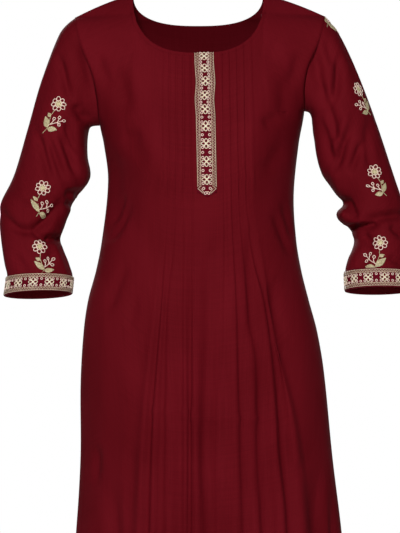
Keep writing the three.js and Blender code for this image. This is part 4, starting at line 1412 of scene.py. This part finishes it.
def satin_leaf(base, tip, width, pitch=0.7):
    """A leaf's threads: from its rib out to both edges, slanted towards its tip, and the rib itself."""
    base, tip = np.array(base, float), np.array(tip, float)
    length = np.linalg.norm(tip - base)
    way = (tip - base) / length
    aside = np.array([-way[1], way[0]])
    lines = [np.array([base, tip])]
    for side in (-1, 1):
        for at in np.arange(0.4, length - 0.8, pitch):
            reach = min(at + 0.3 * width, length)
            out = side * width / 2 * math.sin(math.pi * (reach / length) ** 0.85)
            lines.append(np.array([base + way * at, base + way * reach + aside * out]))
    return lines


def sprig():
    """The sprig's threads by colour, as (right, up) from the flower's middle."""
    chance = np.random.default_rng(12)
    pink, star = [], []
    for k in range(PETALS):
        a = k * 2 * math.pi / PETALS + 0.2 + chance.uniform(-0.07, 0.07)
        start = np.array([math.cos(a), math.sin(a)]) * 4.6
        pink.append(loop(*start, a, chance.uniform(6.6, 7.6), chance.uniform(5.2, 6.2), 14))
        for turn, length in ((-0.2, 4.4), (0.0, 6.4), (0.2, 4.4)):
            star.append(np.array([(0, 0), (length * math.cos(a + turn), length * math.sin(a + turn))]))
    stem = np.array([(-5.0, -10.8), (-9.6, -18), (-10.8, -27), (-11.6, -36), (-19.5, -42.5)], float)
    leaves = [stem, *satin_leaf((-10, -20), (-15.0, -13.6), 5.4)]
    leaves += satin_leaf((-12, -36.5), (-18.8, -17.5), 8.6)
    leaves += satin_leaf((-12.6, -38.2), (2.0, -43.0), 8.4)
    branch = np.array([(-10.8, -32.7), (-3, -31.4), (3.5, -29.6), (9.6, -27.2)], float)
    twigs = [np.array([(-8.6, -32), (-5.2, -28.6), (-4.6, -26)]),
             np.array([(1.6, -30.2), (3.2, -27), (3.9, -24)]),
             np.array([(0.6, -30.6), (3.8, -32.0)])]
    pink += [branch, *twigs]
    for x, y, turn, length in BERRIES:
        pink.append(loop(x, y, turn, length, 4.0))
    return {"pink": pink, "star": star, "leaf": leaves}


print("lines in a sprig:", {colour: len(drawing) for colour, drawing in sprig().items()})

# %% [markdown]
# A sprig's place in view is given by where its flower shows from the front. The nearest point of the
# sleeve's grid that faces the front is its middle. Threads that would run over the grid's ends are left
# out.

# %% Lay a sprig on a sleeve
def nearest_in_view(surface, x, down):
    """The row and column of the grid point that shows at a place on the front."""
    off = np.hypot(surface[:, :, 0] - x, -surface[:, :, 2] - down)
    off = off + 1000 * (outwards(surface)[:, :, 1] > -0.05)
    return np.unravel_index(np.argmin(off), off.shape)


def lay_sprig(surface, row, column, lean, mirror, drawing):
    """Lays a sprig's threads on a sleeve round one of its grid points. lean turns it, in degrees."""
    rows, columns = surface.shape[:2]
    normal = outwards(surface)[row, column]
    before, after = max(row - 3, 0), min(row + 3, rows - 1)
    along = (surface[after, column] - surface[before, column]) / (after - before)
    around = (surface[row, (column + 3) % (columns - 1)] - surface[row, (column - 3) % (columns - 1)]) / 6
    up = np.array([0, 0, 1.0]) - normal * normal[2]
    up /= np.linalg.norm(up)
    right = np.cross(up, normal)
    # How many columns and rows make a millimetre to the right, and one up.
    steps = np.linalg.inv([[around @ right, along @ right], [around @ up, along @ up]])
    turn = math.radians(lean)
    laid = []
    for line in drawing:
        a = (line[:, 0] * math.cos(turn) - line[:, 1] * math.sin(turn)) * mirror
        b = line[:, 0] * math.sin(turn) + line[:, 1] * math.cos(turn)
        moved = steps @ np.stack([a, b])
        c, r = (column + moved[0]) % (columns - 1), row + moved[1]
        if r.min() > 0.5 and r.max() < rows - 1 and np.ptp(c) < columns / 2:
            laid.append(on_grid(surface, c / (columns - 1), r / (rows - 1)))
    return laid


flower_left = nearest_in_view(sleeve_surface["left"], -248, 312)
print("the left sleeve's middle sprig is at row and column", [int(at) for at in flower_left])

# %% [markdown]
# The sprigs are scattered with even gaps, three in front on each sleeve. Those out of sight carry the
# scatter on round the arm. The right sleeve's sprigs are mirrored.

# %% Where the sprigs lie
# Each sprig's flower, as (x, down) on the front of the sleeve, and how far it leans, in degrees.
SPRIGS_FRONT = {
    "left": [(-223, 179, -10), (-248, 312, 0), (-252, 404, 26)],
    "right": [(249.5, 154, 0), (277.5, 287, 0), (285.5, 399, 28)],
}
# Those out of sight from the front: share of the way down the sleeve, share round it, and lean.
SPRIGS_BEHIND = {
    "left": [(0.3, 0.28, -8), (0.55, 0.34, 4), (0.8, 0.26, 12), (0.42, 0.1, 6)],
    "right": [(0.045, 0.53, 150), (0.3, 0.72, 8), (0.55, 0.66, -4), (0.8, 0.74, -12), (0.42, 0.9, 6)],
}
SPRIG_RADIUS = {"pink": 0.68, "star": 0.45, "leaf": 0.5}


def sleeve_sprigs(name):
    """The three pieces of thread on one sleeve, by colour."""
    surface = sleeve_surface[name]
    rows, columns = surface.shape[:2]
    spots = [(*nearest_in_view(surface, x, down), lean) for x, down, lean in SPRIGS_FRONT[name]]
    spots += [(round(a * (rows - 1)), round(c * (columns - 1)), lean) for a, c, lean in SPRIGS_BEHIND[name]]
    made = {}
    for colour, drawing in sprig().items():
        lines = []
        for row, column, lean in spots:
            lines += lay_sprig(surface, row, column, lean, 1 if name == "left" else -1, drawing)
        made[colour] = threads(f"sleeve_{name}_sprigs_{colour}", lines, SPRIG_RADIUS[colour])
    return made


sprig_pieces = {name: sleeve_sprigs(name) for name in SIDES}

# %% [markdown]
# ## Topstitching
#
# A hem is turned under and sewn down, and the stitches show as a row of small dashes a few millimetres in
# from the edge. They are drawn in a matching thread, each a short tube, round the neckline and the hem
# and up the slits.

# %% Rows of stitches
STITCH = 3.0
STITCH_GAP = 1.3
STITCH_RADIUS = 0.3
STITCH_RISE = 0.28  # how far a stitch's middle stands off the cloth
NECK_INSET = 5
HEM_INSET = 14
SLIT_INSET = 9


def cloth_tree(points):
    """The cloth's surface in a form that rays can be cast at."""
    rows, columns = points.shape[:2]
    flat = [Vector(p) * MM for p in points.reshape(-1, 3)]
    quads = [(i * columns + j, (i + 1) * columns + j, (i + 1) * columns + j + 1, i * columns + j + 1)
             for i in range(rows - 1) for j in range(columns - 1)]
    return BVHTree.FromPolygons(flat, quads)


def stitch_row(tree, line, facing):
    """Dashes along a line of (x, down), dropped onto the cloth from the front or from behind."""
    line = np.array(line, float)
    length = np.concatenate([[0], np.cumsum(np.linalg.norm(np.diff(line, axis=0), axis=1))])
    made = []
    for start in np.arange(0, length[-1] - STITCH, STITCH + STITCH_GAP):
        dash = []
        for at, lift in ((0, 0.0), (0.5, STITCH_RISE), (1, 0.0)):
            x = np.interp(start + at * STITCH, length, line[:, 0])
            down = np.interp(start + at * STITCH, length, line[:, 1])
            hit, *_ = tree.ray_cast(Vector((x, facing * 500, -down)) * MM, Vector((0, -facing, 0)))
            if hit is not None:
                dash.append(np.array(hit) / MM + np.array([0, facing * lift, 0]))
        if len(dash) == 3:
            made.append(np.array(dash))
    return made


def neck_line(neck_depth):
    """The neckline moved into the cloth by the stitching's inset."""
    share = np.linspace(-1, 1, 160)
    x = NECK_X + (NECK_HALF + NECK_INSET) * np.sin(share * np.pi / 2)
    across = np.minimum(np.abs(x - NECK_X) / (NECK_HALF + NECK_INSET), 1)
    down = (neck_depth + NECK_INSET) * (1 - across**NECK_SQUARE) ** (1 / NECK_SQUARE)
    return np.column_stack([x, down])[4:-4]


def panel_stitches(points, facing, neck_depth):
    """All the stitches on one panel: round the neck, down both slits and along the hem."""
    tree = cloth_tree(points)
    lines = stitch_row(tree, neck_line(neck_depth), facing)
    hem = KAMEEZ_LENGTH - HEM_INSET
    slits = np.linspace(SLIT_TOP, hem, 60)
    left = np.column_stack([-follow(LEFT["edge"], slits) + SLIT_INSET, slits])
    right = np.column_stack([follow(RIGHT["edge"], slits) - SLIT_INSET, slits])
    across = np.linspace(left[-1, 0], right[-1, 0], 60)
    lines += stitch_row(tree, left, facing) + stitch_row(tree, right, facing)
    lines += stitch_row(tree, np.column_stack([across, np.full(60, float(hem))]), facing)
    return lines


front_stitches = panel_stitches(front_points, -1, NECK_FRONT)
back_stitches = panel_stitches(back_points, 1, NECK_BACK)
topstitching = {
    "front": threads("kameez_front_topstitching", front_stitches, STITCH_RADIUS),
    "back": threads("kameez_back_topstitching", back_stitches, STITCH_RADIUS),
}

# %% [markdown]
# ## Finishes
#
# The cloth is a plain-woven cotton silk, dyed wine red. Cotton silk is soft and fairly matt, with a faint
# sheen that shows where it turns away, because the silk's filaments reflect light along their length.
# Its yarn is a little uneven, and the slubs show as fine streaks along the threads. The embroidery thread
# is rayon, which has more gloss than the cloth.

# %% Material helpers
def linear(hex_colour, alpha=1.0):
    """An sRGB hex colour as the linear colour that the shader needs."""
    parts = [int(hex_colour[k : k + 2], 16) / 255 for k in (1, 3, 5)]
    return (*(p / 12.92 if p <= 0.04045 else ((p + 0.055) / 1.055) ** 2.4 for p in parts), alpha)


def add(tree, kind, settings, links=None):
    """Adds a node, sets its properties and inputs by name, and links what feeds it."""
    node = tree.nodes.new(kind)
    for name, value in settings.items():
        if isinstance(name, int) or name in node.inputs:
            node.inputs[name].default_value = value
        else:
            setattr(node, name, value)
    for name, source in (links or {}).items():
        tree.links.new(source, node.inputs[name])
    return node


def new_material(name):
    """A new material, its node tree and its shader."""
    made = bpy.data.materials.new(name)
    made.use_nodes = True
    return made, made.node_tree, made.node_tree.nodes["Principled BSDF"]


print("mid grey as a linear colour:", round(linear("#808080")[0], 3))

# %% [markdown]
# The cloth's UV map is in metres, so a scale is one over a size. A cotton silk has about 30 threads to
# the centimetre, far too fine to show, so the weave is drawn with threads 0.8 mm apart, as a low bump.
# The slubs are a noise stretched along the cloth: 2 mm wide and 90 mm long, and a second, finer one
# across it. They vary the colour a little, and a large soft noise adds the unevenness of a dyed cloth.

# %% The woven cloth
THREAD_PITCH = 0.8 * MM
SLUB_WIDTH = 2.0 * MM
SLUB_LENGTH = 90 * MM
DYE_SIZE = 140 * MM
WEAVE_HEIGHT = 0.12 * MM


def woven(name, dark, light, roughness, sheen):
    """A plain-woven dyed cloth, from its darker and its lighter shade."""
    made, tree, shader = new_material(name)
    uv = add(tree, "ShaderNodeUVMap", {"uv_map": "cloth"}).outputs["UV"]

    def scaled(x, y):
        node = add(tree, "ShaderNodeMapping", {"Scale": (1 / x, 1 / y, 1)}, {"Vector": uv})
        return node.outputs["Vector"]

    def noise(vector, detail):
        node = add(tree, "ShaderNodeTexNoise", {"Scale": 1.0, "Detail": detail}, {"Vector": vector})
        return node.outputs["Fac"]

    warp = noise(scaled(SLUB_WIDTH, SLUB_LENGTH), 2.0)
    weft = noise(scaled(SLUB_LENGTH, SLUB_WIDTH), 2.0)
    dye = noise(scaled(DYE_SIZE, DYE_SIZE), 1.0)
    threads_both = add(tree, "ShaderNodeMath", {"operation": "ADD"}, {0: warp, 1: weft}).outputs[0]
    half = {"operation": "MULTIPLY_ADD", 1: 0.5}
    uneven = add(tree, "ShaderNodeMath", half, {0: threads_both, 2: dye}).outputs[0]
    shades = add(tree, "ShaderNodeMapRange", {"From Min": 0.8, "From Max": 1.2}, {"Value": uneven})
    colour = add(tree, "ShaderNodeMix", {"data_type": "RGBA"}, {"Factor": shades.outputs[0]})
    colour.inputs[6].default_value = linear(dark)
    colour.inputs[7].default_value = linear(light)
    tree.links.new(colour.outputs[2], shader.inputs["Base Color"])
    weave = []
    for direction in ("X", "Y"):
        bands = {"bands_direction": direction, "Scale": 0.5, "Distortion": 0.3}
        wave = add(tree, "ShaderNodeTexWave", bands, {"Vector": scaled(THREAD_PITCH, THREAD_PITCH)})
        weave.append(wave.outputs["Fac"])
    crossing = add(tree, "ShaderNodeMath", {"operation": "MULTIPLY"}, {0: weave[0], 1: weave[1]})
    height = add(tree, "ShaderNodeMath", {"operation": "ADD"}, {0: crossing.outputs[0], 1: warp})
    low = {"Strength": 0.35, "Distance": WEAVE_HEIGHT}
    bump = add(tree, "ShaderNodeBump", low, {"Height": height.outputs[0]})
    tree.links.new(bump.outputs["Normal"], shader.inputs["Normal"])
    shader.inputs["Roughness"].default_value = roughness
    shader.inputs["IOR"].default_value = 1.5
    shader.inputs["Specular IOR Level"].default_value = 0.04
    shader.inputs["Sheen Weight"].default_value = sheen
    shader.inputs["Sheen Roughness"].default_value = 0.4
    shader.inputs["Sheen Tint"].default_value = linear("#8a3c5c")
    return made


kameez_finish = woven("wine_red_cotton_silk", "#600a14", "#6b0f1a", 0.75, 0.02)
salwar_finish = woven("wine_red_cotton", "#540611", "#5c0915", 0.72, 0.03)
band_finish = woven("wine_red_band_cloth", "#5c0818", "#680b1e", 0.7, 0.03)
print("made", kameez_finish.name, salwar_finish.name, band_finish.name)

# %% [markdown]
# Rayon embroidery thread is smooth and twisted, so it has a soft gloss. The sewing thread is spun from
# cotton and has almost none. The twist is drawn as a noise in the brightness, 1.6 mm long.

# %% The threads
TWIST = 1.6 * MM


def spun(name, dark, light, roughness, gloss=0.5):
    """A twisted thread, from its darker and its lighter shade."""
    made, tree, shader = new_material(name)
    place = add(tree, "ShaderNodeTexCoord", {}).outputs["Object"]
    twist = add(tree, "ShaderNodeTexNoise", {"Scale": 1 / TWIST, "Detail": 1.0}, {"Vector": place})
    spread = {"From Min": 0.35, "From Max": 0.65}
    shades = add(tree, "ShaderNodeMapRange", spread, {"Value": twist.outputs["Fac"]})
    colour = add(tree, "ShaderNodeMix", {"data_type": "RGBA"}, {"Factor": shades.outputs[0]})
    colour.inputs[6].default_value = linear(dark)
    colour.inputs[7].default_value = linear(light)
    tree.links.new(colour.outputs[2], shader.inputs["Base Color"])
    shader.inputs["Roughness"].default_value = roughness
    shader.inputs["Specular IOR Level"].default_value = gloss
    return made


thread_finish = {
    "khaki": spun("khaki_gold_rayon_thread", "#c0a48c", "#e0cab0", 0.42),
    "cream": spun("cream_rayon_thread", "#ead9b8", "#fdf3da", 0.42),
    "pink": spun("pale_pink_rayon_thread", "#f0cdba", "#ffeadc", 0.42),
    "star": spun("straw_rayon_thread", "#c4b686", "#e6dab0", 0.42),
    "leaf": spun("olive_gold_rayon_thread", "#aea07a", "#d4c8a0", 0.42),
}
seam_finish = spun("wine_red_sewing_thread", "#580510", "#640816", 0.7, gloss=0.05)
print("made", *(finish.name for finish in thread_finish.values()), seam_finish.name)

# %% [markdown]
# ## What each piece is
#
# Every piece rides on the one body, stands for its plain wall in the imported model, which is hidden,
# and takes its slot's finish. The table also lists each piece of cloth's flat rectangle, how much of it
# the piece takes and how it is held, but nothing reads them.

SLOT_FINISH = {"kameez_cloth": kameez_finish, "border": band_finish, "salwar_cloth": salwar_finish}
# (object, node it stands for, flat width and length, flat area or None for all of it, how it is held)
CLOTHS = {
    "kameez_cloth": [
        (kameez_front, "kameez_front", (0.60, 1.06), 0.50, "draped"),
        (kameez_back, "kameez_back", (0.52, 1.07), 0.47, "draped"),
        (sleeve_cloth["left"], "sleeve_left", (0.40, 0.46), 0.14, "draped"),
        (sleeve_cloth["right"], "sleeve_right", (0.40, 0.46), 0.14, "draped"),
    ],
    "border": [
        (placket_band, "placket", (0.031, 0.24), None, "stretched"),
        (cuff_band["left"], "cuff_band_left", (0.318, 0.030), None, "stretched"),
        (cuff_band["right"], "cuff_band_right", (0.318, 0.030), None, "stretched"),
    ],
    "salwar_cloth": [
        (salwar_cloth["leg_left"], "salwar_leg_left", (0.62, 0.80), 0.42, "gathered"),
        (salwar_cloth["leg_right"], "salwar_leg_right", (0.62, 0.80), 0.42, "gathered"),
        (salwar_cloth["ankle_left"], "salwar_ankle_band_left", (0.43, 0.046), None, "draped"),
        (salwar_cloth["ankle_right"], "salwar_ankle_band_right", (0.43, 0.046), None, "draped"),
        (salwar_cloth["casing"], "salwar_waist_casing", (0.84, 0.036), None, "draped"),
    ],
}
for slot, rows in CLOTHS.items():
    for piece, node, flat, area, held in rows:
        piece.data.materials.append(SLOT_FINISH[slot])
        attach(piece, "root")
        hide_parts(node)
    print(f"{slot}: {len(rows)} sheets")

# %% [markdown]
# The embroidery and the stitches aren't in the imported model, so they stand for nothing there. They ride
# on the same body. The embroidery takes the threads' finishes and the stitches the sewing thread's.

# %% Finish the threads
embroidery = [placket_threads, *cuff_thread_pieces.values(), *sprig_pieces.values()]
for group in embroidery:
    for colour, piece in group.items():
        piece.data.materials.append(thread_finish[colour])
        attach(piece, "root")
for piece in topstitching.values():
    piece.data.materials.append(seam_finish)
    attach(piece, "root")
print(f"{sum(len(group) for group in embroidery)} pieces of embroidery and {len(topstitching)} of stitching")

# %% [markdown]
# ## Floor and light
#
# The floor is a disc of plain white paper below the ankle bands. To the camera alone it glows a little,
# so that it stays pale where little light reaches it. The glow lights nothing.

# %% Floor
FLOOR_DOWN = 1.36
FLOOR_RADIUS = 4.0
FLOOR_GLOW = 0.22

bm = bmesh.new()
bmesh.ops.create_circle(bm, cap_ends=True, segments=96, radius=FLOOR_RADIUS)
bmesh.ops.translate(bm, verts=bm.verts, vec=(0, 0, -FLOOR_DOWN))
floor_mesh = bpy.data.meshes.new("floor")
bm.to_mesh(floor_mesh)
bm.free()
floor = bpy.data.objects.new("floor", floor_mesh)
bpy.context.scene.collection.objects.link(floor)
floor_finish, floor_tree, floor_shader = new_material("matt_white_backdrop_paper")
floor_shader.inputs["Base Color"].default_value = linear("#f4f3f1")
floor_shader.inputs["Roughness"].default_value = 0.9
floor_shader.inputs["Emission Color"].default_value = (1, 1, 1, 1)
floor_path = add(floor_tree, "ShaderNodeLightPath", {})
in_view = floor_path.outputs["Is Camera Ray"]
glow = add(floor_tree, "ShaderNodeMath", {"operation": "MULTIPLY", 1: FLOOR_GLOW}, {0: in_view})
floor_tree.links.new(glow.outputs[0], floor_shader.inputs["Emission Strength"])
floor.data.materials.append(floor_finish)
print(f"floor {FLOOR_DOWN} m below the shoulders, {2 * FLOOR_RADIUS} m across")

# %% [markdown]
# A garment is lit like a portrait: one soft light in front, above and a little to the left, which brings
# out the folds, and a much weaker one from the right, which keeps their shaded sides readable. Two more
# behind light the back. The surround is white to the camera and dim as a light, so the folds keep their
# contrast.

# %% Lights and surround
SURROUND_LIGHT = 0.09
AIM = Vector((0, 0, -0.5))
# (name, place, size, power)
LIGHTS = [
    ("key", (-0.55, -3.9, 1.4), 0.8, 119),
    ("fill", (1.5, -3.8, 0.0), 1.2, 12),
    ("back_left", (-1.3, 3.8, 1.4), 1.4, 84),
    ("back_right", (1.3, 3.7, 0.2), 1.6, 22),
]
for name, place, size, power in LIGHTS:
    light = bpy.data.lights.new(name, "AREA")
    light.size = size
    light.energy = power
    lamp = bpy.data.objects.new(name, light)
    lamp.location = place
    lamp.rotation_euler = (AIM - Vector(place)).to_track_quat("-Z", "Y").to_euler()
    bpy.context.scene.collection.objects.link(lamp)

world = bpy.data.worlds.new("pale_surround")
world.use_nodes = True
bpy.context.scene.world = world
sky = world.node_tree
sky.nodes.clear()
seen = add(sky, "ShaderNodeBackground", {"Color": (1, 1, 1, 1), "Strength": 1.0})
lit = add(sky, "ShaderNodeBackground", {"Color": (1, 1, 1, 1), "Strength": SURROUND_LIGHT})
path = add(sky, "ShaderNodeLightPath", {})
choice = {0: path.outputs["Is Camera Ray"], 1: lit.outputs[0], 2: seen.outputs[0]}
either = add(sky, "ShaderNodeMixShader", {}, choice)
add(sky, "ShaderNodeOutputWorld", {}, {"Surface": either.outputs[0]})
bpy.context.scene.view_settings.view_transform = "Standard"
print(f"{len(LIGHTS)} lights, {sum(power for *_, power in LIGHTS)} W")
